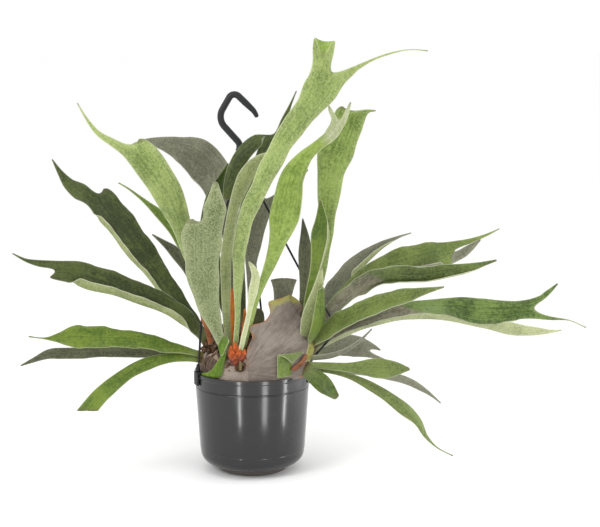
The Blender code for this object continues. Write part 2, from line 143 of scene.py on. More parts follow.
class Finish:
    """One material. What is the same all over it is set on the shader's own sockets."""

    def __init__(self, name, **same):
        self.material = bpy.data.materials.new(name)
        self.material.use_nodes = True
        self.tree = self.material.node_tree
        self.shader = self.tree.nodes["Principled BSDF"]
        for key, value in same.items():
            fill(self.tree, self.shader, {key.replace("_", " "): value})
        self.here = self.node("TexCoord", output="Object")

    def node(self, kind, settings=None, inputs=None, output=0):
        made = add_node(self.tree, "ShaderNode" + kind, settings, inputs)
        return Value(self, made.outputs[output])

    def attribute(self, name):
        return self.node("Attribute", {"attribute_name": name}, output="Fac")

    def growth(self, across, along):
        """The piece's own growth map, stretched: shares of its width across, metres along."""
        chart = self.node("UVMap", {"uv_map": "growth"})
        return self.node("Mapping", None, {"Vector": chart, "Scale": (across, along, 1)})

    def part(self, axis):
        """Where the surface is along X, Y or Z, in metres."""
        return self.node("SeparateXYZ", None, {"Vector": self.here}, output=axis)

    def stretched(self, across, deep, up):
        return self.node("Mapping", None, {"Vector": self.here, "Scale": (across, deep, up)})

    def grain(self, scale, detail, where=None, distortion=0.0):
        """Soft noise, scale times a metre, from about 0.3 to 0.7."""
        inputs = {"Vector": where or self.here, "Scale": scale, "Detail": detail}
        return self.node("TexNoise", None, {**inputs, "Distortion": distortion})

    def mix(self, share, first, second):
        return self.node("Mix", {"data_type": "RGBA"}, {0: share, 6: first, 7: second}, output=2)

    def coated(self, body, *coats):
        """The body colour under coats of (share, colour), each over the last."""
        for share, colour in coats:
            body = self.mix(share, body, colour)
        return body

    def wear(self, colour, rough, height, depth, strength):
        """What changes over the surface. Its relief is depth millimetres where height is 1."""
        bump = {"Height": height, "Distance": depth * MM, "Strength": strength}
        relief = self.node("Bump", None, bump)
        maps = {"Base Color": colour, "Roughness": rough, "Normal": relief}
        fill(self.tree, self.shader, maps)
        return self


# ---------------------------------------------------------------- growth values

GAP = 0.3  # clearance between parts that sit on each other

# Each crown: its centre and its radii.
CROWNS = {
    "front": ((-20, -52, 160), (15, 13, 14)),
    "left": ((-50, -2, 162), (18, 18, 20)),
    "left_back": ((-44, 35, 172), (16, 16, 18)),
    "back": ((-12, 12, 184), (22, 15, 13)),
    "back_right": ((34, 32, 170), (14, 13, 14)),
    "right": ((62, -2, 168), (20, 19, 20)),
    "low_right": ((58, -31, 151), (13, 12, 12)),
}

# Each frond: its crown, where it starts from that crown's centre, how it looks and how it grows.
# A look is the tone of its front and back, how deep its middle is channelled, how far its margins
# ripple in millimetres, then the folds of its left and right margins where it has any: degrees,
# from and to as shares of its length, and where across the half it bends. A fold below nought
# lays the margin over the front, so that its back shows.
# It grows by (length, leans, aways, turns, widths, left lobe, right lobe), in millimetres and
# degrees. A lobe is (length, leans, aways, turns, widths); left and right are as the frond grows.
FRONDS = {
    "tall": ("front", (-2, -4, 4), ("bright", "fresh", 0.2, 1.0), (
        409, (84, 88, 85, 66, 62, 52, 64), (-12, -6, 0, 2), (20, 10, 15),
        (8, 8, 17, 22, 27, 33, 50),
        (64, (80, 86, 80, 72), (0, -44, -150, -165), (10, 0), (31, 29, 6)),
        (123, (32, 27, 20, 12, -2, -18), (6, 4), (-20, -10), (9, 4, 3, 2, 2)))),
    "broad": ("front", (-9, -2, 2), ("silver", "grey", 0.14, 1.0), (
        206, (109, 106, 98, 89, 86), (-26, -16, -6), (10,), (8, 17, 34, 46, 54),
        (4, (70, 60), (0,), (5,), (18, 10)),
        (53, (90, 85, 88), (0,), (5,), (36, 24, 18, 6)))),
    "arching": ("front", (-8, 4, 6), ("sage", "grey", 0.3, 0.5), (
        292, (95, 92, 89, 82, 73, 52, -5), (-2, 4, 4), (25, 10, 30), (7, 11, 14, 16, 15, 24, 12))),
    "right_face": ("front", (7, -4, 5),
        ("face", "sage", 0.22, 1.4, None, (-120, 0.45, 0.72, 0.8)), (
        346, (77, 74, 68, 73, 80, 65, 36, 78), (2, 4, 0), (20, -10),
        (8, 9, 10, 20, 37, 33, 15, 19),
        (22, (116, 112), (-8,), (0,), (9, 2)),
        (28, (72, 66, 72), (0,), (0,), (8, 2)))),
    "small": ("front", (4, -7, 3), ("cream", "sage", -0.2, 0.5), (
        148, (79, 77, 80, 87, 152), (-26, -12, -4, -40), (20,), (6, 7, 7, 9, 14, 3))),
    "crooked": ("back", (2, -5, 4), ("deep", "grey", 0.25, 0.9), (
        276, (96, 92, 88, 74, 68, 62), (-6, 2), (30,), (9, 16, 17, 16, 20, 26),
        (112, (205, 228, 246, 257, 264), (-4,), (20,), (24, 24, 22, 12)),
        (67, (70, 68, 66, 66, 64), (2,), (10,), (14, 8, 4, 2)))),
    "inner": ("back", (-14, -5, 4), ("gloss", "deep", -0.35, 0.9), (
        238, (109, 105, 98, 88, 68, 66), (-2, 6), (20, 10), (9, 16, 22, 30, 24, 2))),
    "upper_left": ("back", (-8, 6, 6),
        ("grey", "grey", 0.25, 2.0, (-140, 0.25, 0.8, 0.86), None), (
        392, (94, 95, 99, 115, 155, 180, 216), (14, 26, 30), (0, 5, 20),
        (9, 14, 24, 46, 52, 18, 2))),
    "back_mid": ("back", (11, 6, 5), ("grey", "meadow", 0.15, 1), (
        178, (90, 91, 86, 76, 66), (8, 4), (10,), (9, 10, 16, 28, 30),
        (30, (100,), (6,), (0,), (14, 6)),
        (70, (38, 42, 42), (10,), (0,), (14, 3)))),
    "back_round": ("back", (17, -2, 2), ("dusk", "meadow", 0.15, 0.4), (
        34, (84, 90), (0,), (0,), (14, 22, 14))),
    "back_upright": ("back_right", (-3, 2, 4), ("grey", "meadow", 0.15, 0.6), (
        86, (79, 82, 87), (12, 16, 62), (0,), (14, 17, 25, 38))),
    "right_tall": ("right", (6, 6, 8), ("meadow", "grey", 0.25, 1.8), (
        319, (74, 76, 81, 85, 84, 67, 78), (8, 8), (-10, 0), (10, 14, 18, 22, 34, 50, 44),
        (5, (96, 92), (6,), (0,), (14, 8)),
        (24, (20, 5, -5), (0,), (0,), (8, 2)))),
    "right_short": ("right", (3, -9, 8),
        ("leaf", "sage", -0.25, 0.8, None, (-140, 0.3, 0.9, 0.78)), (
        198, (78, 79, 79, 82, 88, 102), (-10, 0, 6), (-15, 0), (8, 11, 14, 17, 25, 3))),
    "spike": ("right", (-1, -3, 9), ("dusk", "deep", 0.35, 0.6), (
        170, (82, 84, 85, 88, 95, 98), (-7, 3), (10,), (8, 8, 9, 18, 17, 2))),
    "folded": ("right", (8, -12, 4),
        ("sage", "leaf", -0.15, 0.6, None, (-152, 0.02, 0.86, 0.45)), (
        130, (74, 80, 84), (-32, -12), (20, -10), (9, 29, 28, 17, 3))),
    "right_grey": ("right", (5, 14, 8),
        ("grey", "sage", 0.2, 1.2, None, (-150, 0.35, 0.92, 0.55)), (
        262, (54, 52, 47, 33, 17, 8), (36, 38), (-40, -25), (10, 20, 31, 23, 9, 2))),
    "right_wide": ("right", (13, 6, 4),
        ("field", "grey", 0.2, 1.6, None, (-150, 0.5, 0.97, 0.6)), (
        284, (55, 47, 36, 22, 9, 2, 3), (26, 34), (-35, -20), (10, 18, 26, 33, 40, 42, 34),
        (84, (10, 18, 26), (24,), (-15,), (10, 6, 2)),
        (48, (33,), (14,), (-15,), (16, 3)))),
    "right_twist": ("right", (13, 1, 1),
        ("twist", "sage", 0.25, 1.6, None, (-150, 0.3, 0.95, 0.7)), (
        311, (56, 48, 29, 0, 4, 10, 14), (12, 14), (10, 25, -20), (10, 20, 26, 26, 22, 15, 3))),
    "right_front": ("right", (13, -7, 3), ("field", "grey", -0.12, 1.2), (
        235, (46, 33, 22, 19), (-28, -32), (-45, -30), (12, 27, 27, 26, 17, 2))),
    "right_long": ("right", (14, -3, -3),
        ("long", "sage", 0.2, 2.4, None, (-155, 0.8, 0.96, 0.6)), (
        314, (36, 24, 18, 6, -8, 3, 5), (-6, -2), (-25, -10), (9, 12, 13, 14, 19, 22, 37, 28, 26),
        (45, (28, 40, 46, 50), (0,), (0,), (11, 8, 2)),
        (75, (-12, -8, -8, -32, -58), (-3,), (0,), (9, 3, 2, 2)))),
    "right_under": ("right", (14, 3, -8), ("straw", "straw", 0.15, 1.8), (
        373, (27, 20, 6, -8, -13, -8, 6), (8, 14), (15, 0), (8, 8, 9, 9, 13, 18, 2))),
    "low_grey": ("right", (12, 6, -13), ("grey", "sage", 0.12, 1.6), (
        94, (20, 3, -14, -26), (20,), (20, 0), (12, 28, 35, 22),
        (17, (-24, -30), (20,), (0,), (8, 2)),
        (30, (-22, -24), (20,), (0,), (7, 2)))),
    "low_thin": ("low_right", (5, 5, 6), ("grey", "grey", 0.3, 0.6), (
        114, (8, 12, 32, 44, 58), (-14, -8), (0,), (6, 8, 7, 5, 2))),
    "low_green": ("low_right", (8, -2, 1), ("field", "grey", 0.15, 1.2), (
        161, (4, 3, 6, 3, 6), (-32, -24), (-20,), (9, 9, 12, 20, 27, 3))),
    "low_back": ("low_right", (8, 6, -3), ("grey", "grey", 0.25, 0.8), (
        212, (-8, -8, -13, -32, -48), (10, 14), (-30, -20), (8, 10, 12, 11, 2))),
    "low_droop": ("low_right", (9, 1, -4), ("field", "sage", 0.3, 0.8), (
        246, (-3, -7, -17, -28, -31, -40, -60, -24, -26), (-18, -26), (-25, -10),
        (8, 7, 8, 12, 15, 18, 10, 3, 2))),
    "low_short": ("low_right", (6, -6, -1), ("gloss", "grey", 0.16, 1.2), (
        76, (-26, -36, -42), (-42, -30), (-10,), (12, 19, 24, 20, 8))),
    "left_bright": ("left_back", (-7, -8, 6), ("bright", "sage", 0.14, 1.2), (
        290, (105, 105, 105, 107, 114, 124, 129), (-10, -8), (10,), (9, 12, 17, 25, 35, 44, 37),
        (95, (150, 150, 134, 123, 118, 116), (-8,), (15,), (15, 10, 7, 4, 2)),
        (4, (112, 108), (-4,), (0,), (16, 10)))),
    "left_dark": ("left", (-7, 9, 7),
        ("deep", "sage", 0.14, 1.8, (-160, 0.12, 0.97, 0.72), None), (
        264, (126, 128, 128, 129, 131, 130), (12, 24), (30, 20), (9, 21, 28, 38, 41, 40),
        (83, (147, 147, 131, 124, 122), (12,), (15,), (28, 25, 15, 8, 2)),
        (5, (128, 122), (8,), (0,), (14, 7)))),
    "left_long": ("left", (-9, -3, 6),
        ("deep", "sage", 0.12, 1.6, (-165, 0.1, 0.96, 0.58), None), (
        243, (118, 134, 151, 156, 159, 163, 176), (-10, -20), (35, 20),
        (9, 20, 27, 29, 32, 34, 26),
        (9, (195, 200), (-10,), (10,), (9, 3)),
        (60, (176, 164, 150, 150), (-8,), (10,), (13, 9, 5, 2)))),
    "left_low": ("left", (-10, -7, -4), ("leaf", "sage", 0.12, 1.8), (
        250, (162, 162, 163, 167, 173, 172, 182, 170, 158), (-16, -28), (40, 30),
        (9, 11, 20, 24, 26, 31, 31, 6, 2))),
    "left_low_grey": ("left", (-12, 3, -8), ("dusk", "sage", 0.25, 2.0), (
        260, (177, 176, 175, 179, 181, 185, 183, 209, 189), (0, 6), (20,),
        (8, 9, 12, 15, 16, 16, 17, 11, 2))),
    "left_droop": ("left", (-11, -7, -11), ("leaf", "sage", 0.18, 1), (
        196, (166, 180, 195, 209, 223, 232), (-14, -40, -20), (35, 15), (9, 13, 17, 19, 21, 24))),
    "left_short": ("left_back", (-11, 1, 1), ("dusk", "deep", -0.4, 0.6), (
        175, (104, 110, 122, 142, 145), (16,), (20,), (9, 14, 20, 18, 2))),
    "left_thin": ("left_back", (-4, 10, 6), ("leaf", "grey", -0.35, 0.6), (
        306, (108, 113, 122, 127, 142, 147, 160), (34, 34), (25,), (9, 13, 17, 19, 16, 6, 2))),
}

# Blades whose end is cut straight, slanted by degrees.
CUT_SHORT = {"frond_back_upright_blade": 4, "frond_left_droop_blade": 38}

# Tones of a frond's skin: deep and light tissue, the colour of its hairs and how thick they lie,
# how strongly its veins show, how much its margin pales, and how rough it is.
TONES = {
    "meadow": ((82, 104, 36), (130, 152, 72), (168, 182, 120), 0.42, 0.25, 0.6, 0.55),
    "bright": ((99, 118, 54), (148, 167, 92), (186, 197, 141), 0.42, 0.25, 0.6, 0.55),
    "field": ((66, 82, 28), (102, 119, 53), (132, 144, 86), 0.4, 0.25, 0.7, 0.52),
    "fresh": ((97, 125, 43), (144, 168, 76), (170, 185, 116), 0.36, 0.3, 0.5, 0.5),
    "face": ((101, 128, 45), (148, 171, 78), (174, 188, 118), 0.36, 0.3, 0.5, 0.5),
    "leaf": ((65, 91, 22), (106, 127, 43), (138, 151, 75), 0.24, 0.3, 0.6, 0.42),
    "gloss": ((42, 60, 12), (84, 103, 36), (116, 131, 64), 0.16, 0.3, 0.5, 0.34),
    "deep": ((40, 50, 19), (75, 87, 40), (107, 117, 72), 0.28, 0.25, 0.8, 0.46),
    "dusk": ((48, 52, 34), (84, 88, 62), (118, 120, 94), 0.36, 0.4, 0.6, 0.58),
    "grey": ((81, 83, 66), (112, 114, 93), (144, 144, 123), 0.45, 0.5, 0.7, 0.64),
    "sage": ((112, 124, 70), (148, 158, 100), (174, 178, 138), 0.45, 0.25, 0.7, 0.62),
    "silver": ((84, 100, 56), (121, 132, 85), (154, 161, 121), 0.75, 0.15, 0.7, 0.68),
    "cream": ((150, 162, 104), (182, 190, 136), (204, 208, 168), 0.5, 0.3, 0.7, 0.6),
    "straw": ((122, 130, 88), (156, 163, 116), (182, 185, 148), 0.5, 0.3, 0.7, 0.6),
    "young": ((70, 100, 14), (112, 142, 36), (148, 164, 80), 0.14, 0.3, 0.9, 0.4),
    "ripe": ((120, 118, 44), (168, 164, 84), (190, 184, 120), 0.2, 0.3, 0.8, 0.5),
    "twist": ((42, 56, 16), (88, 104, 46), (124, 136, 82), 0.3, 0.3, 0.8, 0.46),
    "long": ((52, 74, 28), (104, 126, 62), (149, 156, 112), 0.18, 0.3, 0.6, 0.3),
}

# Dead and dying shields: where their veins fan from, as (x, z), their deep and light tissue, the
# colour, width and strength of the rim, and the height above which the margin is still green.
PAPERY = {
    "papery_shield": ((-12, 150), (100, 88, 79), (142, 131, 120), (160, 100, 52), 3.2, 0.85, 228),
    "papery_back": ((-12, 150), (98, 74, 52), (140, 110, 82), (150, 92, 48), 3, 0.7),
    "old_plate": ((0, 120), (50, 37, 28), (104, 79, 57), (70, 46, 30), 3, 0.6),
    "pale_plate": ((-12, 150), (122, 108, 96), (164, 152, 139), (140, 92, 56), 2.6, 0.6),
    "rusty_shield": ((-26, 170), (92, 46, 18), (176, 106, 52), (70, 40, 20), 2, 0.6),
    "orange_flap": ((-26, 170), (170, 84, 16), (222, 132, 40), (120, 62, 24), 2, 0.6),
}

# Blades whose right lobe turns over and shows its back.
TURNED_LOBE = {"frond_right_wide_blade"}

# Tones that turn over as they leave the crown, and show a brownish underside as far as this.
TURNED_OVER = {"twist": 148, "long": 162}

# The newest frond's fork is still in its pale wool from this far up.
WOOLLY_TIP = {"face": 306}

# Leaves, in millimetres
SKIN = 0.9  # a frond's thickness near its tip, and what its middle and its foot add
SKIN_MIDDLE = 0.6
SKIN_FOOT = 1.6
FOOT_REACH = 60  # how far up from its foot, and down from its tip, the thickness changes
TIP_REACH = 50
RIBBON_THICKNESS = 1.3
PLATE_THICKNESS = 1.4
LEAF_RIM = 1.5  # how wide the rounding of a margin is
NARROWEST = 1.2
BLUNT_TIP = 7
CUT_TIP = 2
LOBE_TIP = 5
WIDEST_SINUS = 3.5  # the rounding of the notch between two lobes
CARRY = 18  # how far a lobe keeps its blade's ripple
FORK_SKIN = 15  # how far from a fork its skin relaxes
FORK_PASSES = 60
ROW_SPACING = 22
FINE_ROWS = 5
HALF_COLUMNS = 13

# Pot and saucer, in millimetres
RIM_RADIUS = 78.5
RIM_TOP = 138
RIM_BAND = 20
RIM_THICKNESS = 3.2
BAND_STEP = 0.8
SHOULDER_RADIUS = 77.2
LOW_RADIUS = 70.5
LOW_CORNER = 26
POT_WALL = 2
POT_FLOOR = 9
POT_FLOOR_RADIUS = 52
FOOT_RING_RADIUS = 41
FOOT_RING_WALL = 3
SAUCER_RADIUS = 49
SAUCER_HEIGHT = 8.6
SAUCER_WALL = 2
TURNED_STEPS = 160

# Mix and mound, in millimetres
MIX_TOP = 124
MIX_CLEARANCE = 1.6
MOUND_RADIUS = 69
MOUND_TOP = 182
MOUND_SQUARENESS = 2.3

# Hanger, in millimetres
HOOK_THICKNESS = 9
HOOK_FOOT = (-16, 15, 436)
# Each straight leg, then the radius of the bend after it and its turn to the right.
HOOK_BENDS = ((4, 10, -42), (26, 20, 72), (18, 8, 104), (25, 24, 26))
BEND_STEP = 5
COLLAR_HEIGHT = 9
STRAP_THICKNESS = 3
STRAP_SPREAD = 3.6
STRAP_STEPS = 59
STRAP_AZIMUTHS = {"left": 202, "back": 78, "right": 351}
STRAP_BOWS = {
    "left": (0, 2, 6, 9, 7, 0),
    "back": (0, 3, 7, 10, 8, 0),
    "right": (0, 11, 23, 36, 52, 0),
}
CLIP_WIDTH = 14
CLIP_DROP = 16
CLIP_LIP = 5
CLIP_WALL = 2.4
CLIP_REACH = 4.4


# ---------------------------------------------------------------- shapes


def through(values, t):
    """A smooth run through evenly spaced values, at t from 0 to 1."""
    last = len(values) - 1
    if last == 0:
        return values[0]
    place_along = min(max(t, 0), 1) * last
    i = min(int(place_along), last - 1)
    f = place_along - i
    a, b, c, d = (values[min(max(j, 0), last)] for j in (i - 1, i, i + 1, i + 2))
    return b + 0.5 * f * (c - a + f * (2 * a - 5 * b + 4 * c - d + f * (3 * (b - c) + d - a)))


def eased(share):
    """From 0 to 1 with a soft start and end."""
    held = min(max(share, 0), 1)
    return held * held * (3 - 2 * held)


def round_off(distance, radius):
    """How far out a rounded end has come, from 0 at its tip to 1 at radius from it."""
    left = 1 - min(max(distance / radius, 0), 1)
    return math.sqrt(max(1 - left * left, 0))


def on_rim(azimuth, radius, height):
    """A point round the plant's axis, from millimetres."""
    turn = math.radians(azimuth)
    return Vector((radius * math.cos(turn), radius * math.sin(turn), height)) * MM


def placed(name, mesh, *finishes):
    for finish in finishes:
        mesh.materials.append(finish.material)
    item = bpy.data.objects.new(name, mesh)
    bpy.context.scene.collection.objects.link(item)
    return item


def mesh_of(name, points, faces, smooth=True):
    mesh = bpy.data.meshes.new(name)
    mesh.from_pydata(points, [], faces)
    mesh.polygons.foreach_set("use_smooth", [smooth] * len(mesh.polygons))
    return mesh


def mark_points(mesh, label, values):
    """A number at each point, which a finish reads by its label."""
    mesh.attributes.new(label, "FLOAT", "POINT").data.foreach_set("value", values)


def keep(item, slot, *nodes):
    """The piece rides with the plant and stands for its solids."""
    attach(item, "root")
    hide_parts(*nodes)
    return item


class Sheet:
    """An open sheet of quads with its growth marks, closed into a leaf by shell()."""

    def __init__(self):
        self.points = []
        self.marks = []  # share across, metres along, metres to the tip
        self.faces = []
        self.turned_from = None  # from this face on the sheet has turned over

    def add_row(self, row, marks):
        first = len(self.points)
        self.points.extend(row)
        self.marks.extend(marks)
        return list(range(first, len(self.points)))

    def bridge(self, low, high):
        for i in range(len(low) - 1):
            self.faces.append((low[i], high[i], high[i + 1], low[i + 1]))

    def weave(self, rows, columns, at, inwards=False):
        """Rows of points over a whole sheet. at(column, row) gives a point and its marks."""
        before = None
        for j in range(rows + 1):
            fresh = self.add_row(*zip(*(at(i / columns, j / rows) for i in range(columns + 1))))
            if before:
                self.bridge(*((fresh, before) if inwards else (before, fresh)))
            before = fresh


def edge_uses(faces):
    """How many faces meet at each edge: one at a margin."""
    uses = {}
    for face in faces:
        for i, j in zip(face, face[1:] + face[:1]):
            key = (min(i, j), max(i, j))
            uses[key] = uses.get(key, 0) + 1
    return uses


def shell(name, sheet, thick, finishes):
    """Closes a sheet into a leaf: thick in the middle, round at its margin, a finish a side."""
    count = len(sheet.points)
    normals = [Vector() for _ in range(count)]
    for face in sheet.faces:
        corners = [sheet.points[i] for i in face]
        out = (corners[2] - corners[0]).cross(corners[3] - corners[1])
        for i in face:
            normals[i] += out
    margin = {i for key, times in edge_uses(sheet.faces).items() if times == 1 for i in key}
    tree = kdtree.KDTree(len(margin))
    for i in margin:
        tree.insert(sheet.points[i], i)
    tree.balance()
    inward = [tree.find(point)[2] for point in sheet.points]
    top, low_points, under, sources = [], [], {}, list(range(count))
    for i, point in enumerate(sheet.points):
        round_rim = round_off(inward[i], LEAF_RIM * MM)
        out = normals[i].normalized() * thick(sheet.marks[i]) / 2 * round_rim
        top.append(point + out)
        under[i] = i
        if i not in margin:
            under[i] = count + len(low_points)
            low_points.append(point - out)
            sources.append(i)
    back_faces = [tuple(under[i] for i in reversed(face)) for face in sheet.faces]
    mesh = mesh_of(name, top + low_points, sheet.faces + back_faces)
    back = len(finishes) - 1
    last = len(sheet.faces)
    turn = last if sheet.turned_from is None else sheet.turned_from
    sides = [0] * turn + [back] * (last - turn) + [back] * turn + [0] * (last - turn)
    mesh.polygons.foreach_set("material_index", sides)
    chart = mesh.uv_layers.new(name="growth")
    for loop in mesh.loops:
        chart.data[loop.index].uv = sheet.marks[sources[loop.vertex_index]][:2]
    mark_points(mesh, "edge", [inward[i] for i in sources])
    mark_points(mesh, "along", [sheet.marks[i][1] for i in sources])
    mark_points(mesh, "tip", [sheet.marks[i][2] for i in sources])
    return placed(name, mesh, *finishes)


def rounded(profile, radius):
    """The profile with each inner corner rounded, as far as its legs let it."""
    steps = 5
    points = [Vector(point) for point in profile]
    out = [points[0]]
    for before, corner, after in zip(points, points[1:], points[2:]):
        near = min(radius, (before - corner).length * 0.45, (after - corner).length * 0.45)
        first = corner + (before - corner).normalized() * near
        last = corner + (after - corner).normalized() * near
        for i in range(steps + 1):
            t = i / steps
            out.append(first * (1 - t) ** 2 + corner * 2 * t * (1 - t) + last * t * t)
    out.append(points[-1])
    return out


def lathe(name, profile, finish, steps=TURNED_STEPS, sway=None):
    """A closed solid turned from (radius, height) in millimetres, from inside to outside."""
    points, rings = [], []
    for radius, height in profile:
        first = len(points)
        on_axis = radius < 0.01
        count = 1 if on_axis else steps
        for i in range(count):
            turn = 2 * math.pi * i / steps
            point = Vector((radius * math.cos(turn), radius * math.sin(turn), height)) * MM
            points.append(sway(point) if sway else point)
        rings.append([first + i % count for i in range(steps)])
    faces = []
    for low, high in zip(rings, rings[1:]):
        for i in range(steps):
            j = (i + 1) % steps
            corners = (low[j], high[j], high[i], low[i])
            faces.append(tuple(dict.fromkeys(corners)))
    faces = [face for face in faces if len(face) > 2]
    return placed(name, mesh_of(name, points, faces), finish)


def tube(name, line, radius, finish, sides):
    """A closed rod along a line, its ends domed. radius(t) is its size, t along it from 0 to 1."""
    length = sum((b - a).length for a, b in zip(line, line[1:]))
    across = Vector((0, 1, 0))
    points, rings = [], []
    walked = 0.0
    last = len(line) - 1
    domes = [math.pi / 2 * k / 4 for k in (1, 2, 3)]
    bulge = 0.7  # how far a dome stands out, as a share of its radius

    def ring(middle, size):
        first = len(points)
        other = way.cross(across)
        for i in range(sides):
            turn = 2 * math.pi * i / sides
            points.append(middle + (across * math.cos(turn) + other * math.sin(turn)) * size)
        rings.append(list(range(first, first + sides)))

    for i, spot in enumerate(line):
        way = (line[min(i + 1, last)] - line[max(i - 1, 0)]).normalized()
        across = (across - way * across.dot(way)).normalized()
        size = radius(walked / length)
        if i == 0:
            for dome in domes:
                ring(spot - way * size * bulge * math.cos(dome), size * math.sin(dome))
        ring(spot, size)
        if i == last:
            for dome in domes:
                ring(spot + way * size * bulge * math.sin(dome), size * math.cos(dome))
        else:
            walked += (line[i + 1] - spot).length
    faces = []
    for low, high in zip(rings, rings[1:]):
        faces += [
            (low[i], low[(i + 1) % sides], high[(i + 1) % sides], high[i]) for i in range(sides)
        ]
    faces += [tuple(reversed(rings[0])), tuple(rings[-1])]
    return placed(name, mesh_of(name, points, faces), finish)


# ---------------------------------------------------------------- fronds


def grow_blade(start, length, leans, aways, turns, widths):
    """Stations along a blade: its middle, the way across it, and half its width."""
    rows = max(3, round(length / ROW_SPACING))
    spot = Vector(start)
    stations = []
    for i in range(rows + 1):
        t = i / rows
        lean = math.radians(through(leans, t))
        away = math.radians(through(aways, t))
        flat = math.cos(away)
        ahead = Vector((math.cos(lean) * flat, math.sin(away), math.sin(lean) * flat))
        level = Vector((-math.sin(lean), 0, math.cos(lean)))
        across = Matrix.Rotation(math.radians(through(turns, t)), 3, ahead) @ level
        stations.append((spot.copy(), across, max(through(widths, t), NARROWEST) / 2 * MM))
        spot += ahead * (length * MM / rows)
    return stations


class Habit:
    """How one blade's section curves and its margins ripple, from its name and its look."""

    def __init__(self, name, cup, ripple, left_fold=None, right_fold=None):
        chance = random.Random(name)
        self.cup = cup
        self.ripple = ripple * MM
        self.folds = {1: left_fold, -1: right_fold}
        self.waves = {
            side: (chance.uniform(0.036, 0.056), chance.uniform(0, 6.3), chance.uniform(0, 6.3))
            for side in (1, -1)
        }
        self.seed = Vector([chance.uniform(-40, 40) for _ in range(3)])

    def swing(self, side, along):
        """How far out and how far forward the margin is carried here, from -1 to 1 or so."""
        wave, phase, second = self.waves[side]
        turn = 2 * math.pi * along / wave
        forward = math.sin(turn + phase) + 0.4 * math.sin(2.3 * turn + second)
        return math.sin(turn * 0.7 + second), forward

    def fold(self, side, share):
        """How far the margin is folded, in radians, where it bends, and how much it widens."""
        if not self.folds[side]:
            return 0, 1, 1
        degrees, first, last, bend = self.folds[side]
        here = eased((share - first) / 0.14) * eased((last - share) / 0.1)
        return math.radians(degrees) * here, bend, 1 + here * (1 / bend - 1)

    def section(self, side, half, along, share):
        """Points from the middle out to one margin: how far across, and how far back."""
        wider, forward = self.swing(side, along)
        roll, bend, spare = self.fold(side, share)
        reach = half * (1 + 0.05 * wider) * spare
        lift = self.ripple * min(half / (12 * MM), 1.3) * forward
        out, back, before = 0.0, 0.0, 0.0
        points = [(0.0, 0.0)]
        for j in range(1, HALF_COLUMNS + 1):
            v = math.sin(math.pi / 2 * j / HALF_COLUMNS)
            middle = (v + before) / 2
            slope = 2 * self.cup * middle + roll * eased((middle - bend + 0.12) / 0.26)
            out += math.cos(slope) * (v - before) * reach
            back += math.sin(slope) * (v - before) * reach
            points.append((out, back - lift * v ** 3))
            before = v
        return points

    def rough(self, point, facing):
        return point + facing * noise.noise(point * 30 + self.seed) * 0.8 * MM

    def row(self, station, ahead, along, share):
        """A row of points from the right margin to the left one."""
        middle, across, half = station
        facing = ahead.cross(across).normalized()
        left = self.section(1, half, along, share)
        right = self.section(-1, half, along, share)
        sides = [(-out, back) for out, back in right[:0:-1]] + left
        return [self.rough(middle + across * out - facing * back, facing) for out, back in sides]


def refined(stations, length, end_round, start_round=0):
    """Finer stations on a smooth run through the given ones, closer where an end is rounded."""
    rows = (len(stations) - 1) * FINE_ROWS
    marks = [i / rows for i in range(rows + 1)]
    if end_round:
        share = end_round / length
        marks = [m for m in marks if m < 1 - share * 1.1]
        marks += [1 - share * (1 - math.sin(math.pi / 2 * i / 5)) for i in range(6)]
    if start_round:
        share = start_round / length
        near = [share * (1 - math.cos(math.pi / 2 * i / 5)) for i in range(6)]
        marks = near + [m for m in marks if m > share * 1.1]
    middles, acrosses, halves = zip(*stations)
    fine = []
    for t in marks:
        ahead = (through(middles, t + 0.01) - through(middles, t - 0.01)).normalized()
        across = through(acrosses, t)
        across = (across - ahead * across.dot(ahead)).normalized()
        fine.append((t, ahead, (through(middles, t), across, through(halves, t))))
    return fine


def grow_lobe(sheet, habit, side, lobe, end, last_row, reach):
    """One lobe of a fork, grown on from its half of the blade's last row."""
    length, leans, aways, turns, widths = lobe
    end_middle, end_across, end_half = end
    root = end_middle + end_across * (end_half * side / 2)
    grown = grow_blade(root, length, leans, aways, turns, (end_half / MM, *widths))
    lobe_reach = length * MM
    sinus = min(0.2 * end_half, WIDEST_SINUS * MM)
    tip_round = min(grown[-1][2], LOBE_TIP * MM)
    before = last_row[HALF_COLUMNS:] if side > 0 else last_row[: HALF_COLUMNS + 1][::-1]
    even = [math.sin(math.pi / 2 * i / HALF_COLUMNS) for i in range(HALF_COLUMNS + 1)]
    # How the true last row differs from a flat one, which fades out along the lobe.
    carried = [
        sheet.points[j] - (end_middle + end_across * (end_half * v * side))
        for j, v in zip(before, even)
    ]
    for t, ahead, (middle, across, half) in refined(grown, lobe_reach, tip_round, sinus)[1:]:
        s = t * lobe_reach
        half *= max(round_off(lobe_reach - s, tip_round), 0.06)
        parted = eased(s / min(1.3 * end_half, 0.6 * lobe_reach))
        across = end_across.lerp(across, parted).normalized()
        facing = ahead.cross(across).normalized()
        notch = sinus * round_off(s, sinus) * min(1, half / (end_half / 2))
        settled = min(s / (0.5 * lobe_reach), 1)
        fade = max(1 - s / (CARRY * MM), 0) ** 2
        _, forward = habit.swing(side, reach + s)
        row, marks = [], []
        for i, (v, offset) in enumerate(zip(even, carried)):
            centred = 0.5 * (1 - math.cos(math.pi * i / HALF_COLUMNS))
            v = settled * centred + (1 - settled) * v
            out = -half + notch + (2 * half - notch) * v
            channel = habit.cup * half * (2 * v - 1) ** 2 * settled
            back = channel - habit.ripple * 0.6 * forward * v ** 3
            row.append(middle + across * (out * side) - facing * back + offset * fade)
            marks.append((0.5 + side * i / HALF_COLUMNS / 2, reach + s, lobe_reach - s))
        fresh = sheet.add_row(row, marks)
        if side > 0:
            sheet.bridge(before, fresh)
        else:
            sheet.bridge(before[::-1], fresh[::-1])
        before = fresh


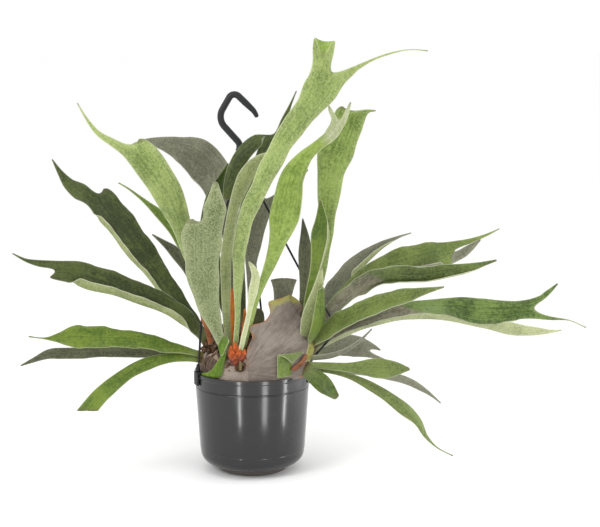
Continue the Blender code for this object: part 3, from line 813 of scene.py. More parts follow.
def settle_fork(sheet, reach):
    """Lets the skin round a fork relax, so that the lobes leave the blade in smooth curves."""
    around, beside = {}, {}
    for edge, times in sorted(edge_uses(sheet.faces).items()):
        for i, j in (edge, edge[::-1]):
            around.setdefault(i, []).append(j)
            if times == 1:
                beside.setdefault(i, []).append(j)
    pull = {}
    for i, (_, along, to_tip) in enumerate(sheet.marks):
        near = 1 - abs(along - reach) / (FORK_SKIN * MM)
        if near > 0:
            pull[i] = 0.5 * eased(near * 1.5) * min(to_tip / (8 * MM), 1)
    for _ in range(FORK_PASSES):
        moved = {}
        for i, share in pull.items():
            others = beside.get(i) or around[i]
            middle = sum((sheet.points[j] for j in others), Vector()) / len(others)
            moved[i] = sheet.points[i].lerp(middle, share)
        for i, point in moved.items():
            sheet.points[i] = point


def make_frond(name, start, spec, habit, finishes, sturdy=1.0):
    """A blade from a crown, with a lobe to each side of its end where it forks."""
    habit = Habit(name, *habit)
    length, *course = spec[:5]
    lobes = spec[5:]
    reach = length * MM
    longest = max([lobe[0] for lobe in lobes], default=0) * MM
    sheet = Sheet()
    stations = grow_blade(Vector(start) * MM, length, *course)
    slant = CUT_SHORT.get(name)
    blunt = (BLUNT_TIP if slant is None else CUT_TIP) * MM
    end_round = 0 if lobes else min(stations[-1][2], blunt)
    columns = HALF_COLUMNS * 2
    rows = []
    for t, ahead, (middle, across, half) in refined(stations, reach, end_round):
        if end_round:
            half *= max(round_off((1 - t) * reach, end_round), 0.05)
        if slant:
            turn = math.radians(slant) * eased((t - 0.8) / 0.2)
            across = (across * math.cos(turn) - ahead * math.sin(turn)) / max(math.cos(turn), 0.5)
        row = habit.row((middle, across, half), ahead, t * reach, t)
        marks = [(i / columns, t * reach, (1 - t) * reach + longest) for i in range(columns + 1)]
        rows.append(sheet.add_row(row, marks))
        if len(rows) > 1:
            sheet.bridge(rows[-2], rows[-1])
    for side, lobe in zip((1, -1), lobes):
        if side < 0 and name in TURNED_LOBE:
            sheet.turned_from = len(sheet.faces)
        grow_lobe(sheet, habit, side, lobe, stations[-1], rows[-1], reach)
    if lobes:
        settle_fork(sheet, reach)

    def thick(mark):
        _, along, to_tip = mark
        foot = max(1 - along / (FOOT_REACH * MM), 0)
        middle = min(to_tip / (TIP_REACH * MM), 1)
        return (SKIN + SKIN_MIDDLE * middle + SKIN_FOOT * foot) * sturdy * MM

    return shell(name, sheet, thick, finishes)


def frond_finish(name):
    """A frond's skin: blotched tissue, its veins, a lay of fine pale hairs and a pale margin."""
    *colours, hairiness, veining, margin, rough = TONES[name]
    deep, light, hair = (paint(*colour) for colour in colours)
    skin = Finish(f"{name}_frond", Sheen_Weight=0.08, Sheen_Roughness=0.4, IOR=1.4,
                  Specular_IOR_Level=0.3)
    edge, along, tip = (skin.attribute(label) * TO_MM for label in ("edge", "along", "tip"))
    patches = skin.grain(22, 3)
    mottle = skin.grain(250, 2)
    streaks = skin.grain(1, 3, skin.growth(30, 14))
    speckle = skin.grain(520, 3).rise(0.4, 0.6) * 0.6 + skin.grain(1300, 1).rise(0.35, 0.65) * 0.4
    net = skin.grain(1, 2, skin.growth(15, 20), 0.5)
    veins = (net - 0.5).size().fall(0.0, 0.03)
    cracks = skin.grain(1, 2, skin.growth(26, 60)).rise(0.62, 0.72)
    blend = (patches * 0.4 + mottle * 0.3 + streaks * 0.3).rise(0.4, 0.6)
    body = skin.mix(blend, deep, light)
    if name in TURNED_OVER:
        last = TURNED_OVER[name]
        under = skin.mix(blend, paint(74, 70, 56), paint(122, 117, 98))
        chart = skin.node("UVMap", {"uv_map": "growth"})
        across = skin.node("SeparateXYZ", None, {"Vector": chart})
        crease = along + 30 * patches + 55 * across
        body = skin.mix(crease.fall(last + 24, last + 42), body, under)
    if name in WOOLLY_TIP:
        start = WOOLLY_TIP[name]
        wool = skin.mix(blend, paint(168, 172, 138), paint(210, 211, 184))
        body = skin.mix((along + 24 * patches).rise(start + 12, start + 30) * 0.9, body, wool)
    lay = (speckle * (0.75 + 0.5 * patches) + 0.4 * edge.fall(1.5, 10)) * hairiness
    body = skin.coated(
        body,
        (veins * veining, shade(deep, 0.6)),
        (cracks * 0.5, shade(deep, 0.55)),
        (lay.rise(0, 1), hair),
        # The margin is pale, the foot pale and then brown, and the very tip brown.
        (edge.fall(0.5, 1.4) * margin, tuple(0.16 + 0.84 * c for c in hair)),
        (along.fall(4, 42) * 0.45, paint(150, 160, 112)),
        (along.fall(9, 20) * 0.8, paint(96, 70, 40)),
        (tip.fall(1, 9) * 0.5, paint(92, 84, 58)),
    )
    relief = speckle * 0.35 + veins * 0.3 + mottle * 0.4
    return skin.wear(body, rough - 0.08 + 0.2 * speckle, relief, 0.45, 0.5)


# ---------------------------------------------------------------- shields, plates and mound


def mound_radius(height):
    """The mound's radius in millimetres, at a height in millimetres."""
    share = min(max((height - MIX_TOP) / (MOUND_TOP - MIX_TOP), 0), 1)
    return MOUND_RADIUS * (1 - share ** MOUND_SQUARENESS) ** (1 / MOUND_SQUARENESS)


def ribbon(name, left, right, deep, finishes, rows, columns):
    """A sheet between two margins of (x, z), in millimetres. deep gives y from x, z, u and t."""
    sheet = Sheet()
    lefts = [Vector((*point, 0)) for point in left]
    rights = [Vector((*point, 0)) for point in right]

    def at(column, row):
        u = 0.5 - 0.5 * math.cos(math.pi * column)
        t = 0.5 - 0.5 * math.cos(math.pi * row)
        flat = through(rights, t).lerp(through(lefts, t), u)
        point = Vector((flat.x, deep(flat.x, flat.y, u, t), flat.y)) * MM
        # Marked past a frond's brown foot, and short of its brown tip.
        return point, (u, 0.05 + t * 0.05, 0.02 + (1 - t) * 0.05)

    sheet.weave(rows, columns, at)
    return shell(name, sheet, lambda mark: RIBBON_THICKNESS * MM, finishes)


def old_plate(name, azimuth, spread, low, high, lift, flare, finishes):
    """A dead shield lying round the mound, its free margin ragged and standing off."""
    sheet = Sheet()
    chance = random.Random(name)
    seed = Vector([chance.uniform(-30, 30) for _ in range(3)])

    def at(column, row):
        u = 2 * column - 1
        t = math.sin(math.pi / 2 * row)
        ragged = 1 + 0.14 * noise.noise(Vector((u * 3, t * 2, 0)) + seed)
        half = spread * max(1 - (0.25 + 0.75 * t) ** 4, 0.02) ** 0.5 * ragged
        height = low + (high - low) * t * (1 - 0.18 * u * u) * ragged
        rib = 0.7 * math.sin((u * 9 + 2 * t) * 2.2 + seed.x)
        out = mound_radius(min(height, MOUND_TOP - 3)) + lift + rib + flare * t ** 3
        return on_rim(azimuth + half * u, out, height), (0.5 + u / 2, t * 0.1, (1 - t) * 0.1)

    rows, columns = 22, 30
    sheet.weave(rows, columns, at, inwards=True)
    return shell(name, sheet, lambda mark: PLATE_THICKNESS * MM, finishes)


def papery_finish(name, hub, deep, light, rim, rim_width, rim_share, ripe=None):
    """A dead or dying shield: fine veins fanning from a hub of (x, z) in millimetres.

    Above the height called ripe its margin is still yellow-green.
    """
    deep, light, rim = paint(*deep), paint(*light), paint(*rim)
    skin = Finish(name, Sheen_Weight=0.25, Sheen_Roughness=0.5, IOR=1.35)
    across = skin.part("X") * TO_MM - hub[0]
    height = skin.part("Z") * TO_MM
    up = height - hub[1]
    turn = up.sum("ARCTAN2", up, across)
    reach = (across * across + up * up) ** 0.5
    fan = skin.node("CombineXYZ", None, {"X": turn * 13, "Y": reach * 0.03})
    fibres = skin.grain(1, 5, fan, 0.5)
    fine = skin.grain(3.4, 3, fan, 0.2)
    patches = skin.grain(34, 3)
    blotches = skin.grain(110, 3)
    edge = skin.attribute("edge") * TO_MM + (blotches - 0.5) * 9
    body = skin.mix((fibres * 0.4 + fine * 0.3 + patches * 0.3).rise(0.36, 0.64), deep, light)
    body = skin.mix(blotches.rise(0.5, 0.75) * 0.3, body, tuple(0.04 + c for c in light))
    body = skin.mix((fine - 0.5).size().fall(0, 0.03) * 0.22, body, shade(deep, 0.5))
    if ripe:
        fresh = (height + (blotches - 0.5) * 22).rise(ripe - 5, ripe + 5) * edge.fall(5, 10)
        body = skin.mix(fresh * 0.85, body, paint(160, 156, 76))
    body = skin.mix(edge.fall(0.4, rim_width) * rim_share * patches.rise(0.42, 0.56), body, rim)
    relief = fibres * 0.7 + fine * 0.4 + skin.grain(700, 2) * 0.15
    return skin.wear(body, 0.78 + 0.15 * fine, relief, 0.8, 0.5)


def mound_finish():
    """Dark root fibre, its strands running up."""
    skin = Finish("mound_fibre", IOR=1.35, Specular_IOR_Level=0.2)
    strands = skin.grain(1, 4, skin.stretched(260, 260, 40), 1.2)
    patches = skin.grain(40, 3)
    fine = skin.grain(800, 2)
    body = skin.mix(strands.rise(0.38, 0.62), paint(38, 27, 19), paint(104, 76, 50))
    body = skin.mix(patches.rise(0.5, 0.7) * 0.5, body, paint(62, 44, 30))
    return skin.wear(body, 0.9, strands + fine * 0.3, 2.5, 0.8)


def lumpy(seed, size, scale):
    """A push in and out of the surface for a lathed heap."""
    offset = Vector((seed, -seed, 2 * seed))

    def sway(point):
        push = noise.noise(point * scale + offset)
        push += 0.5 * noise.noise(point * scale * 2.3 + offset)
        flat = Vector((point.x, point.y, 0))
        return point + (flat.normalized() * 0.6 + Vector((0, 0, 1))) * push * size * MM

    return sway


def make_mound(finish):
    """The heap of roots and leaf bases that the plates lie on."""
    steps = 26
    under_plates = 2
    height = MOUND_TOP - MIX_TOP - 1
    power = 2 / MOUND_SQUARENESS
    profile = [(0, MIX_TOP + GAP)]
    for i in range(steps + 1):
        turn = math.pi / 2 * i / steps
        wide = (MOUND_RADIUS - under_plates) * math.cos(turn) ** power
        radius = wide if i < steps else 0
        profile.append((radius, MIX_TOP + 1 + height * math.sin(turn) ** power))
    sway = lumpy(4.7, 2.2, 55)

    def rough(point):
        return sway(point) if point.z > (MIX_TOP + 3) * MM else point

    return lathe("mound_heap", profile, finish, 110, rough)


# ---------------------------------------------------------------- what grows on a surface


def scattered(name, base, shape, finish, density, small, large, tilt, seed):
    """A mesh of the base with copies of the shape all over it, each with its tip upwards."""
    tree = bpy.data.node_groups.new(name, "GeometryNodeTree")
    many = "Copies per square metre"
    sizes = {many: density, "Smallest": small, "Largest": large, "Tilt": tilt}

    def socket(label, way, kind):
        return tree.interface.new_socket(label, in_out=way, socket_type="NodeSocket" + kind)

    socket("Surface", "INPUT", "Geometry")
    sockets = {label: socket(label, "INPUT", "Float") for label in sizes}
    socket("Grown", "OUTPUT", "Geometry")

    def node(kind, settings=None, inputs=None, output=0):
        made = add_node(tree, kind, settings, inputs)
        return made.outputs[output] if made.outputs else made

    def chance(low, high, draw):
        inputs = {2: low, 3: high, "Seed": seed + draw}
        return node("FunctionNodeRandomValue", {"data_type": "FLOAT"}, inputs, 1)

    given = node("NodeGroupInput").node.outputs
    surface = given["Surface"]
    inputs = {"Mesh": surface, "Density": given[many], "Seed": seed}
    spread = node("GeometryNodeDistributePointsOnFaces", None, inputs).node.outputs
    inputs = {"Rotation": spread["Rotation"], "Vector": (0, 0, 1)}
    upward = node("FunctionNodeAlignRotationToVector", {"axis": "Y", "pivot_axis": "Z"}, inputs)
    lean = node("ShaderNodeCombineXYZ", None, {"X": given["Tilt"], "Z": chance(-0.5, 0.5, 1)})
    lean = node("FunctionNodeEulerToRotation", None, {"Euler": lean})
    inputs = {"Rotation": upward, "Rotate By": lean}
    turned = node("FunctionNodeRotateRotation", {"rotation_space": "LOCAL"}, inputs)
    size = chance(given["Smallest"], given["Largest"], 2)
    held = node("GeometryNodeObjectInfo", None, {"Object": shape}).node.outputs["Geometry"]
    inputs = {"Points": spread["Points"], "Instance": held, "Rotation": turned, "Scale": size}
    copies = node("GeometryNodeInstanceOnPoints", None, inputs)
    real = node("GeometryNodeRealizeInstances", None, {"Geometry": copies})
    inputs = {"Geometry": real, "Material": finish.material}
    painted = node("GeometryNodeSetMaterial", None, inputs)
    both = node("GeometryNodeJoinGeometry", None, {"Geometry": surface})
    tree.links.new(painted, both.node.inputs["Geometry"])
    node("NodeGroupOutput", None, {0: both})
    modifier = base.modifiers.new(name, "NODES")
    modifier.node_group = tree
    for label, value in sizes.items():
        modifier[sockets[label].identifier] = value
    result = base.evaluated_get(bpy.context.evaluated_depsgraph_get())
    mesh = bpy.data.meshes.new_from_object(result)
    base.modifiers.clear()
    bpy.data.objects.remove(base)
    return placed(name, mesh)


def helper(mesh):
    """A shape for copies, which isn't part of the plant."""
    item = placed(mesh.name, mesh)
    item.hide_render = True
    return item


def scale_shape():
    """A pointed scale, its foot at the origin, its tip along Y and its face up, a metre long."""
    keel, hollow, edge = 0.12, 0.08, 0.1
    widths = ((0, 0.3), (0.3, 0.46), (0.65, 0.3), (1, 0.02))
    round_a_row = ((0, 1), (1, 2), (2, 3), (3, 0))
    points, faces = [], []
    for row, (y, half) in enumerate(widths):
        lift = 0.22 * y * y
        points += [(-half, y, lift - edge), (0, y, lift + keel), (half, y, lift - edge)]
        points.append((0, y, lift - hollow))
        if row:
            low, high = row * 4 - 4, row * 4
            faces += [(low + i, low + j, high + j, high + i) for i, j in round_a_row]
    faces += [(3, 2, 1, 0), tuple(range(high, high + 4))]
    mesh = mesh_of("scale", points, faces)
    mark_points(mesh, "along", [y for _, y, _ in points])
    return helper(mesh)


def crumb_shape():
    """A chip of bark, about a metre long, with blunt uneven corners."""
    chance = random.Random("crumb")
    sizes = (0.7, 1, 0.4)
    points = []
    for z in (-1, 1):
        for x, y in ((-1, -1), (1, -1), (1, 1), (-1, 1)):
            corner = zip((x, y, z), sizes)
            points.append([0.5 * c * chance.uniform(0.5, 1) * s for c, s in corner])
    faces = [(3, 2, 1, 0), (4, 5, 6, 7), (0, 1, 5, 4), (1, 2, 6, 5), (2, 3, 7, 6), (3, 0, 4, 7)]
    return helper(mesh_of("crumb", points, faces, smooth=False))


def egg(name, centre, radii, finish):
    """An egg shape in millimetres."""
    rings, segments = 14, 22
    profile = []
    for ring in range(rings + 1):
        polar = math.pi * ring / rings
        profile.append((math.sin(polar) if 0 < ring < rings else 0, -math.cos(polar)))

    def stretch(point):
        return Vector([c * MM + p / MM * r * MM for c, p, r in zip(centre, point, radii)])

    return lathe(name, profile, finish, segments, stretch)


def scale_finish(name, base, tip, reach=1):
    """Base colour at a scale's foot, tip colour at its end, reach away."""
    skin = Finish(name, Sheen_Weight=0.2, Sheen_Roughness=0.5, IOR=1.4, Specular_IOR_Level=0.3)
    along = skin.attribute("along") / reach
    patches = skin.grain(260, 3)
    fibres = skin.grain(1, 3, skin.stretched(900, 900, 160))
    body = skin.mix((along + (patches - 0.5) * 1.6).rise(0.1, 0.9), base, tip)
    body = skin.mix(fibres.rise(0.45, 0.65) * 0.45, body, shade(base, 0.35))
    return skin.wear(body, 0.62 + 0.2 * fibres, fibres, 0.6, 0.6)


# ---------------------------------------------------------------- pot, saucer and mix


def plastic_finish(name, colour, rough, shine=0.5):
    """Moulded plastic with a little dust and a few scuffs round it."""
    skin = Finish(name, Base_Color=colour, IOR=1.5, Specular_IOR_Level=shine)
    dust = skin.grain(60, 4)
    scuffs = skin.grain(1, 3, skin.stretched(90, 90, 420)).rise(0.6, 0.75)
    specks = skin.grain(1600, 2)
    body = skin.mix(dust.rise(0.5, 0.8) * 0.2, colour, tuple(0.012 + 1.1 * c for c in colour))
    return skin.wear(body, rough + 0.08 * dust + 0.05 * scuffs, specks, 0.01, 0.2)


def make_pot(finish):
    """The pot: a rim band, a fine groove above its rounded bottom, and a foot ring."""
    inside_floor = POT_FLOOR + POT_WALL
    band_foot = RIM_TOP - RIM_BAND
    ring_foot = SAUCER_WALL + GAP
    wide, tall = LOW_RADIUS - POT_FLOOR_RADIUS, LOW_CORNER - POT_FLOOR
    corner = []
    for turn in [math.pi / 2 * i / 12 for i in range(13)]:
        out, down = wide * math.cos(turn), tall * math.sin(turn)
        corner.append((POT_FLOOR_RADIUS + out, LOW_CORNER - down))
    ring_inside = FOOT_RING_RADIUS - FOOT_RING_WALL
    bore = RIM_RADIUS - RIM_THICKNESS
    groove = 3.6  # a fine line round the pot, this far above its low corner
    profile = [
        (0, inside_floor),
        (POT_FLOOR_RADIUS - POT_WALL, inside_floor),
        (LOW_RADIUS - POT_WALL - 0.5, LOW_CORNER + POT_WALL),
        (bore - 0.4, RIM_TOP - 12),
        (bore, RIM_TOP),
        (RIM_RADIUS - 0.4, RIM_TOP),
        (RIM_RADIUS, RIM_TOP - 1),
        (RIM_RADIUS - 0.1, RIM_TOP - 5.4),
        (RIM_RADIUS - 0.7, RIM_TOP - 6.2),
        (RIM_RADIUS - 0.5, band_foot + BAND_STEP),
        (SHOULDER_RADIUS - BAND_STEP, band_foot),
        (SHOULDER_RADIUS - BAND_STEP, band_foot - 1),
        (SHOULDER_RADIUS, band_foot - 1.8),
        (LOW_RADIUS + 0.9, LOW_CORNER + groove + 1.4),
        (LOW_RADIUS + 0.3, LOW_CORNER + groove + 0.7),
        (LOW_RADIUS + 0.5, LOW_CORNER + groove),
        *corner,
        (FOOT_RING_RADIUS, POT_FLOOR),
        (FOOT_RING_RADIUS, ring_foot),
        (ring_inside, ring_foot),
        (ring_inside, POT_FLOOR),
        (0, POT_FLOOR),
    ]
    return lathe("pot_wall", rounded(profile, 0.6), finish)


def make_saucer(finish):
    """The small saucer under the foot ring, with a bead round its rim."""
    bore = SAUCER_RADIUS - SAUCER_WALL
    profile = [
        (0, SAUCER_WALL),
        (bore - 1.6, SAUCER_WALL),
        (bore - 0.4, SAUCER_HEIGHT),
        (SAUCER_RADIUS, SAUCER_HEIGHT),
        (SAUCER_RADIUS - 0.3, SAUCER_HEIGHT - 2),
        (SAUCER_RADIUS - 1.4, SAUCER_HEIGHT - 2.4),
        (SAUCER_RADIUS - 2.2, 1.6),
        (SAUCER_RADIUS - 5, 0),
        (0, 0),
    ]
    return lathe("saucer", rounded(profile, 0.7), finish)


def make_mix(finish):
    """The potting mix, flat on top, where the mound sits."""
    inset = POT_WALL + MIX_CLEARANCE
    bottom = POT_FLOOR + POT_WALL + GAP
    top = MIX_TOP - 0.5
    rim = RIM_RADIUS - RIM_THICKNESS - MIX_CLEARANCE
    profile = [(0, bottom), (POT_FLOOR_RADIUS - inset, bottom)]
    profile.append((LOW_RADIUS - inset, LOW_CORNER + POT_WALL))
    profile += [(rim - 3 * i, top) for i in range(4)]
    profile.append((0, top))
    return lathe("mix_heap", profile, finish, 90)


def peat_finish():
    """Dark peat with paler bark in patches."""
    skin = Finish("peat_and_bark", IOR=1.35, Specular_IOR_Level=0.2)
    lumps = skin.grain(300, 3)
    patches = skin.grain(70, 3)
    body = skin.mix(lumps.rise(0.35, 0.65), paint(30, 21, 15), paint(84, 62, 44))
    body = skin.mix(patches.rise(0.55, 0.7) * 0.4, body, paint(120, 92, 66))
    return skin.wear(body, 0.92, lumps, 1.5, 0.8)


# ---------------------------------------------------------------- hanger


def hook_line():
    """The middle of the hook's rod, from its foot: every leg runs straight and then bends."""
    spot = Vector(HOOK_FOOT)
    heading = 90
    line = [spot.copy()]

    def go(length):
        nonlocal spot
        turn = math.radians(heading)
        spot = spot + Vector((math.cos(turn), 0, math.sin(turn))) * length
        line.append(spot.copy())

    for leg, radius, bend in HOOK_BENDS:
        go(leg / 2)
        go(leg / 2)
        steps = math.ceil(abs(bend) / BEND_STEP)
        half = bend / steps / 2
        for _ in range(steps):
            heading -= half
            go(2 * radius * math.sin(math.radians(abs(half))))
            heading -= half
    return [point * MM for point in line]


def make_hook(finish):
    """The rod, thinner towards its point, and the turned collar round its foot."""
    tapers_from, taper = 0.82, 0.34

    def radius(t):
        thinned = max((t - tapers_from) / (1 - tapers_from), 0) ** 1.4
        return HOOK_THICKNESS / 2 * MM * (1 - taper * thinned)

    rod = tube("hook_rod", hook_line(), radius, finish, 26)
    foot = Vector(HOOK_FOOT) * MM
    flange, waist, neck = 5.9, 4.6, 5.3
    profile = [
        (0, -COLLAR_HEIGHT), (5, -COLLAR_HEIGHT), (flange, -COLLAR_HEIGHT + 1), (flange, -6.4),
        (waist, -5.8), (waist, -2.4), (neck, -1.8), (neck, 0.4), (4.4, 1.4), (0, 1.4),
    ]
    collar = lathe("hook_collar", rounded(profile, 0.5), finish, 48, lambda point: point + foot)
    return rod, collar


def clip_mesh(side):
    """A plate bent over the rim, from inside the pot to the outside of the rim band."""
    inside = RIM_RADIUS - CLIP_REACH
    outside = RIM_RADIUS + GAP
    over = RIM_TOP + GAP
    outline = [
        (inside - CLIP_WALL, over - CLIP_LIP),
        (inside, over - CLIP_LIP),
        (inside, over),
        (outside, over),
        (outside, over - CLIP_DROP),
        (outside + CLIP_WALL, over - CLIP_DROP),
        (outside + CLIP_WALL, over + CLIP_WALL),
        (inside - CLIP_WALL, over + CLIP_WALL),
    ]
    turn = Matrix.Rotation(math.radians(STRAP_AZIMUTHS[side]), 3, "Z")
    half = CLIP_WIDTH / 2
    points = [turn @ Vector((r, s, z)) * MM for s in (-half, half) for r, z in outline]
    count = len(outline)
    faces = [(i, i + count, (i + 1) % count + count, (i + 1) % count) for i in range(count)]
    faces += [tuple(range(count)), tuple(reversed(range(count, 2 * count)))]
    return mesh_of("clip", points, faces)


def make_clip(side, finish):
    item = placed(f"clip_{side}", clip_mesh(side), finish)
    soft = item.modifiers.new("soft_edges", "BEVEL")
    soft.width = 0.7 * MM
    soft.segments = 3
    soft.limit_method = "ANGLE"
    return item


def make_strap(side, finish):
    """A slack strap from under the hook's collar to the top of its rim clip, bowed outwards."""
    azimuth = STRAP_AZIMUTHS[side]
    outward = on_rim(azimuth, 1, 0).normalized()
    collar_foot = (Vector(HOOK_FOOT) - Vector((0, 0, COLLAR_HEIGHT))) * MM
    top = collar_foot - Vector((0, 0, GAP)) * MM + outward * STRAP_SPREAD * MM
    start = top - Vector((0, 0, 4 * MM))
    foot = on_rim(azimuth, RIM_RADIUS - 1, RIM_TOP + CLIP_WALL + 1.2)
    line = [top]
    for t in [i / STRAP_STEPS for i in range(STRAP_STEPS + 1)]:
        line.append(start.lerp(foot, t) + outward * through(STRAP_BOWS[side], t) * MM)
    strap = tube(f"strap_{side}", line, lambda t: STRAP_THICKNESS / 2 * MM, finish, 14)
    knob = [foot + Vector((0, 0, z)) * MM for z in (0.5, 3, 6, 8)]
    ferrule = tube(f"ferrule_{side}", knob, lambda t: (3.1 - 0.9 * t) * MM, finish, 16)
    return strap, ferrule


# ---------------------------------------------------------------- stage, light and camera


def studio():
    """A white room with a pale floor, the lamps and the camera."""
    scene = bpy.context.scene
    scene.view_settings.view_transform = "Standard"
    world = bpy.data.worlds.new("soft_room")
    world.use_nodes = True
    air = world.node_tree.nodes["Background"].inputs
    air["Color"].default_value = (1, 1, 1, 1)
    air["Strength"].default_value = 1.04
    scene.world = world

    far = 20
    points = [(-far, -far, 0), (far, -far, 0), (far, far, 0), (-far, far, 0)]
    paper = Finish("pale_paper", Base_Color=(0.96,) * 3, Roughness=0.9, Specular_IOR_Level=0.1)
    placed("floor", mesh_of("floor", points, [(0, 1, 2, 3)]), paper)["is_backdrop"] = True

    def hung(name, data):
        item = bpy.data.objects.new(name, data)
        scene.collection.objects.link(item)
        return item

    def aimed(item, at):
        item.rotation_euler = (at - item.location).to_track_quat("-Z", "Y").to_euler()

    look = Vector((0.065, 0, 0.283))
    # Each lamp: azimuth from the front, height, width, how tall, power and distance. The three
    # strips only draw the bright lines down the glossy pot.
    for name, azimuth, height, width, tall, power, away in (
        ("key", -42, 1.9, 1.0, 1.0, 24, 2.4),
        ("top", 10, 2.6, 1.4, 1.4, 7, 0.6),
        ("left_strip", -21, 0.15, 0.016, 0.3, 0.29, 0.27),
        ("middle_strip", 23.5, 0.15, 0.04, 0.3, 0.33, 0.27),
        ("right_strip", 62, 0.15, 0.018, 0.3, 0.36, 0.27),
        ("side_glow", 92, 0.25, 0.4, 0.5, 0.85, 0.5),
    ):
        lamp = bpy.data.lights.new(name, "AREA")
        lamp.shape = "RECTANGLE"
        lamp.size, lamp.size_y, lamp.energy = width, tall, power
        item = hung(name, lamp)
        turn = math.radians(azimuth)
        item.location = (away * math.sin(turn), -away * math.cos(turn), height)
        aimed(item, look if name in ("key", "top") else Vector((0, 0, height)))
        item.visible_camera = False
        item.visible_diffuse = not name.endswith("strip")

    camera = bpy.data.cameras.new("camera")
    camera.lens, camera.sensor_width = 98, 36
    item = hung("camera", camera)
    elevation, distance = math.radians(9), 2.2
    item.location = look + Vector((0, -math.cos(elevation), math.sin(elevation))) * distance
    aimed(item, look)
    scene.camera = item


# ---------------------------------------------------------------- assembly


def front_of(x, radius, squeeze=1.0):
    """y on the front of a drum of this radius, in millimetres. It ends this far off the axis."""
    shallowest = 12
    return -math.sqrt(max(radius ** 2 - (squeeze * x) ** 2, shallowest ** 2))


def on_drum(radius, taper=0, squeeze=1.0, bulge=0):
    """A ribbon's way over the front of a drum that tapers upwards, its middle standing off."""
    return lambda x, z, u, t: (
        front_of(x, radius - taper * t, squeeze) - bulge * math.sin(math.pi * u)
    )


def clings(x, z, u, t):
    """The papery shield's way up the mound and over the crowns, in shallow waves."""
    foot, tall = 136, 108
    radius = through((70.5, 70, 66, 58, 48, 42), (z - foot) / tall)
    wave = 2.2 * math.sin(x * 0.16 + z * 0.05) * t + 1.3 * math.sin(z * 0.21 - x * 0.1) * t
    return front_of(x, radius, 0.8) + wave - 3.5 * (1 - u) ** 6 * t


def make_shields(tones, fibre):
    """The papery fan and the green shields in front, and the old plates round the mound."""
    old = {name: papery_finish(name, *spec) for name, spec in PAPERY.items()}
    young, sage = tones["young"], tones["sage"]
    brown, pale = old["old_plate"], old["pale_plate"]

    # Each ribbon: slot, the node it stands for, its left and right margins from the foot up, its
    # way over the mound, its finishes, its rows and its columns.
    for name, slot, node, left, right, way, finishes, rows, columns in (
        ("papery_fan", "papery_shield", "shield_papery",
         [(-3, 134), (-3, 156), (-6, 172), (-3, 183), (2, 194), (-2, 205), (3, 210), (17, 213),
          (25, 223), (23, 237), (32, 240)],
         [(70, 136), (76, 150), (80, 164), (81, 176), (77, 186), (72, 195), (69, 205), (65, 215),
          (68, 226), (62, 236), (51, 242)],
         clings, (old["papery_shield"], old["papery_back"]), 70, 44),
        ("papery_foot", "old_shield", "shield_old_front",
         [(-46, 135), (-42, 147), (-36, 158), (-30, 166), (-20, 171)],
         [(4, 135), (4, 146), (1, 156), (-4, 165), (-12, 171)],
         on_drum(70.8, 6), (pale, brown), 40, 28),
        ("young_flap", "green_shield", "shield_young",
         [(-40, 172), (-43, 184), (-47, 196), (-50, 205)],
         [(-36, 172), (-32, 182), (-28, 193), (-39, 199)],
         on_drum(80, 4, bulge=2), (young, sage), 24, 14),
        ("young_curl", "green_shield", None,
         [(-72, 139), (-62, 141), (-54, 146), (-47, 156), (-40, 168), (-34, 176)],
         [(-66, 137), (-56, 137), (-46, 138), (-39, 141), (-36, 151), (-32, 172)],
         on_drum(74, 4, bulge=2.4), (young, sage), 30, 14),
        ("green_face", "green_shield", "shield_green",
         [(35, 141), (35, 150), (35, 160), (35, 171)],
         [(56, 141), (56, 148), (54, 158), (44, 170)],
         on_drum(77, bulge=1.5), (tones["leaf"], sage), 24, 18),
        ("green_inner", "green_shield", None,
         [(44, 170), (40, 171), (37, 172), (36, 173)],
         [(55, 160), (62, 166), (68, 171), (71, 173)],
         on_drum(78, 3, 0.75), (tones["field"], young), 20, 18),
        ("papery_roll", "green_shield", None,
         [(70, 158), (73, 167), (76, 176), (76, 184)],
         [(78, 157), (83, 166), (84, 176), (79, 185)],
         lambda x, z, u, t: clings(x, z, 1, t) - 2 - 4 * math.sin(math.pi * u),
         (tones["ripe"], young), 20, 12),
        ("dead_corner", "old_shield", None,
         [(53, 150), (55, 154), (60, 157), (66, 160), (70, 166)],
         [(60, 148), (66, 151), (71, 155), (74, 160), (75, 168)],
         lambda x, z, u, t: front_of(x, 78, 0.9) + 2 * math.sin(5 * t),
         (old["rusty_shield"], brown), 20, 12),
    ):
        piece = ribbon(name, left, right, way, finishes, rows, columns)
        keep(piece, slot, *([node] if node else []))

    # Small flaps of old leaf that stand up like fronds.
    for name, skin, start, spec in (
        ("flap_behind", "orange_flap", (-27, -34, 168),
         (86, (92, 88, 90), (6, 0), (10,), (16, 15, 14, 12, 6))),
        ("flap_pale", "orange_flap", (-12, -30, 172),
         (54, (84, 92), (6,), (-20,), (12, 10, 7, 3))),
        ("flap_left", "rusty_shield", (-54, -40, 180),
         (60, (100, 104, 108), (-4,), (0,), (6, 7, 10, 11, 3))),
    ):
        keep(make_frond(name, start, spec, (0.3, 1.2), (old[skin], brown)), "old_shield")

    keep(make_mound(fibre), "old_shield", "shield_mound")
    showing_pale = (3, 9)
    # Each plate: azimuth, half its spread, its foot and top, how far off it lies, its flare.
    for i, plate in enumerate((
        (12, 30, 128, 176, 2, 4), (48, 34, 127, 172, 2.5, 5), (84, 32, 128, 181, 2, 3),
        (118, 34, 127, 170, 3, 6), (152, 30, 128, 178, 2, 4), (186, 26, 127, 166, 3, 5),
        (214, 24, 128, 170, 2.5, 4), (330, 24, 128, 158, 3, 3), (66, 24, 142, 190, 5, 4),
        (136, 26, 140, 188, 5, 5), (28, 24, 140, 186, 4.5, 3),
    )):
        finishes = (pale, brown) if i in showing_pale else (brown, pale)
        keep(old_plate(f"plate_{i}", *plate, finishes), "old_shield")


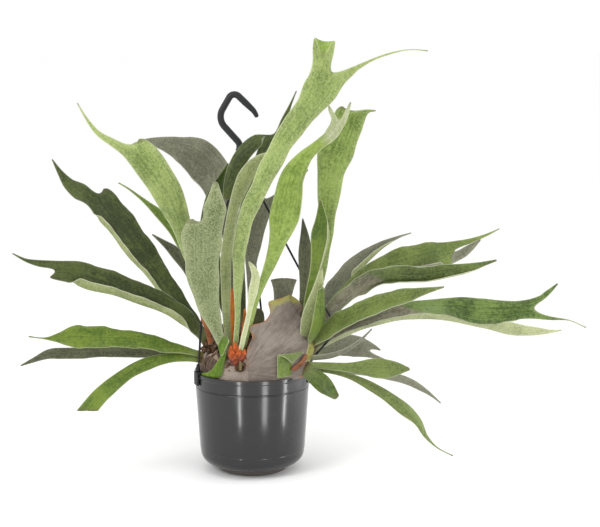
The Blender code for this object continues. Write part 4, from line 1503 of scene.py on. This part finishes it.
def make_crowns(tones, fibre):
    """The woolly crowns, and the bud with its young frond that opens in front."""
    bud = scale_finish("bud_scales", paint(96, 32, 8), paint(200, 94, 26), 24 * MM)
    brown = scale_finish("brown_scales", paint(58, 36, 22), paint(126, 90, 56))
    scale = scale_shape()
    core_depth = 1.5  # how deep the scales' feet lie
    for i, (crown, (centre, radii)) in enumerate(CROWNS.items()):
        name = f"crown_{crown}"
        base = egg(f"{name}_core", centre, [r - core_depth for r in radii], fibre)
        sizes = (26000, 6 * MM, 10 * MM, 0.35)
        keep(scattered(f"{name}_scales", base, scale, brown, *sizes, 11 + i), "bud_scales", name)
    # Each long scale of the front bud: its foot, its lean, its length and its width.
    for i, (foot, lean, length, wide) in enumerate((
        ((-21, -65, 162), 88, 28, 15), ((-17, -66, 162), 82, 24, 14),
        ((-24, -66, 162), 96, 23, 13), ((-14, -67, 161), 70, 20, 12),
        ((-23, -69, 160), 93, 19, 14), ((-17, -70, 160), 86, 20, 14),
        ((-20, -72, 158), 90, 15, 12),
    )):
        leans = (lean, lean, 90 + (lean - 90) * 0.6)
        spec = (length, leans, (-12, 2), (0,), (6, wide, wide * 0.75, 1))
        keep(make_frond(f"bud_scale_{i}", foot, spec, (0.7, 0.2), (bud, bud), 0.8), "bud_scales")
    spec = (13, (88, 94), (-8, 4), (0,), (3, 5, 5, 2))
    finishes = (tones["young"], tones["cream"])
    unrolling = make_frond("young_frond", (-13.5, -75, 152), spec, (0.9, 0.2), finishes, 0.6)
    keep(unrolling, "antler_green")
    disc = egg("bud_disc", (-13.5, -68, 156), (7.5, 5, 7), fibre)
    keep(scattered("young_bud", disc, scale, brown, 60000, 3 * MM, 5 * MM, 0.2, 8), "bud_scales")
    bpy.data.objects.remove(scale)


def main():
    """The studio, the plant from its fronds inwards, then the pot and its hanger."""
    studio()
    tones = {name: frond_finish(name) for name in TONES}
    for name, (crown, offset, (front, back, *habit), spec) in FRONDS.items():
        start = Vector(CROWNS[crown][0]) + Vector(offset)
        blade = make_frond(f"frond_{name}_blade", start, spec, habit, (tones[front], tones[back]))
        keep(blade, "antler_green", f"frond_{name}")
    fibre = mound_finish()
    make_shields(tones, fibre)
    make_crowns(tones, fibre)

    dark = plastic_finish("anthracite", (0.019, 0.019, 0.0205), 0.14, 0.45)
    base = plastic_finish("saucer_grey", (0.1, 0.088, 0.08), 0.4)
    black = plastic_finish("black_strap", (0.009, 0.009, 0.01), 0.45, 0.25)
    charcoal = plastic_finish("charcoal_hook", (0.017, 0.0175, 0.0185), 0.4, 0.32)
    keep(make_pot(dark), "dark_plastic", "pot")
    keep(make_saucer(base), "dark_plastic", "drip_saucer")
    peat = peat_finish()
    crumb = crumb_shape()
    mix = scattered("mix_chips", make_mix(peat), crumb, peat, 22000, 3 * MM, 9 * MM, 0.3, 21)
    bpy.data.objects.remove(crumb)
    keep(mix, "peat", "potting_mix")
    rod, collar = make_hook(charcoal)
    keep(rod, "dark_plastic", "hanger_hook")
    keep(collar, "dark_plastic")
    for side in STRAP_AZIMUTHS:
        keep(make_clip(side, black), "strap_plastic", f"rim_clip_{side}")
        strap, ferrule = make_strap(side, black)
        keep(strap, "strap_plastic", f"hanger_strap_{side}")
        keep(ferrule, "strap_plastic")


main()
[[list(corner) for corner in box] for box in (cad_box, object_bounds())]
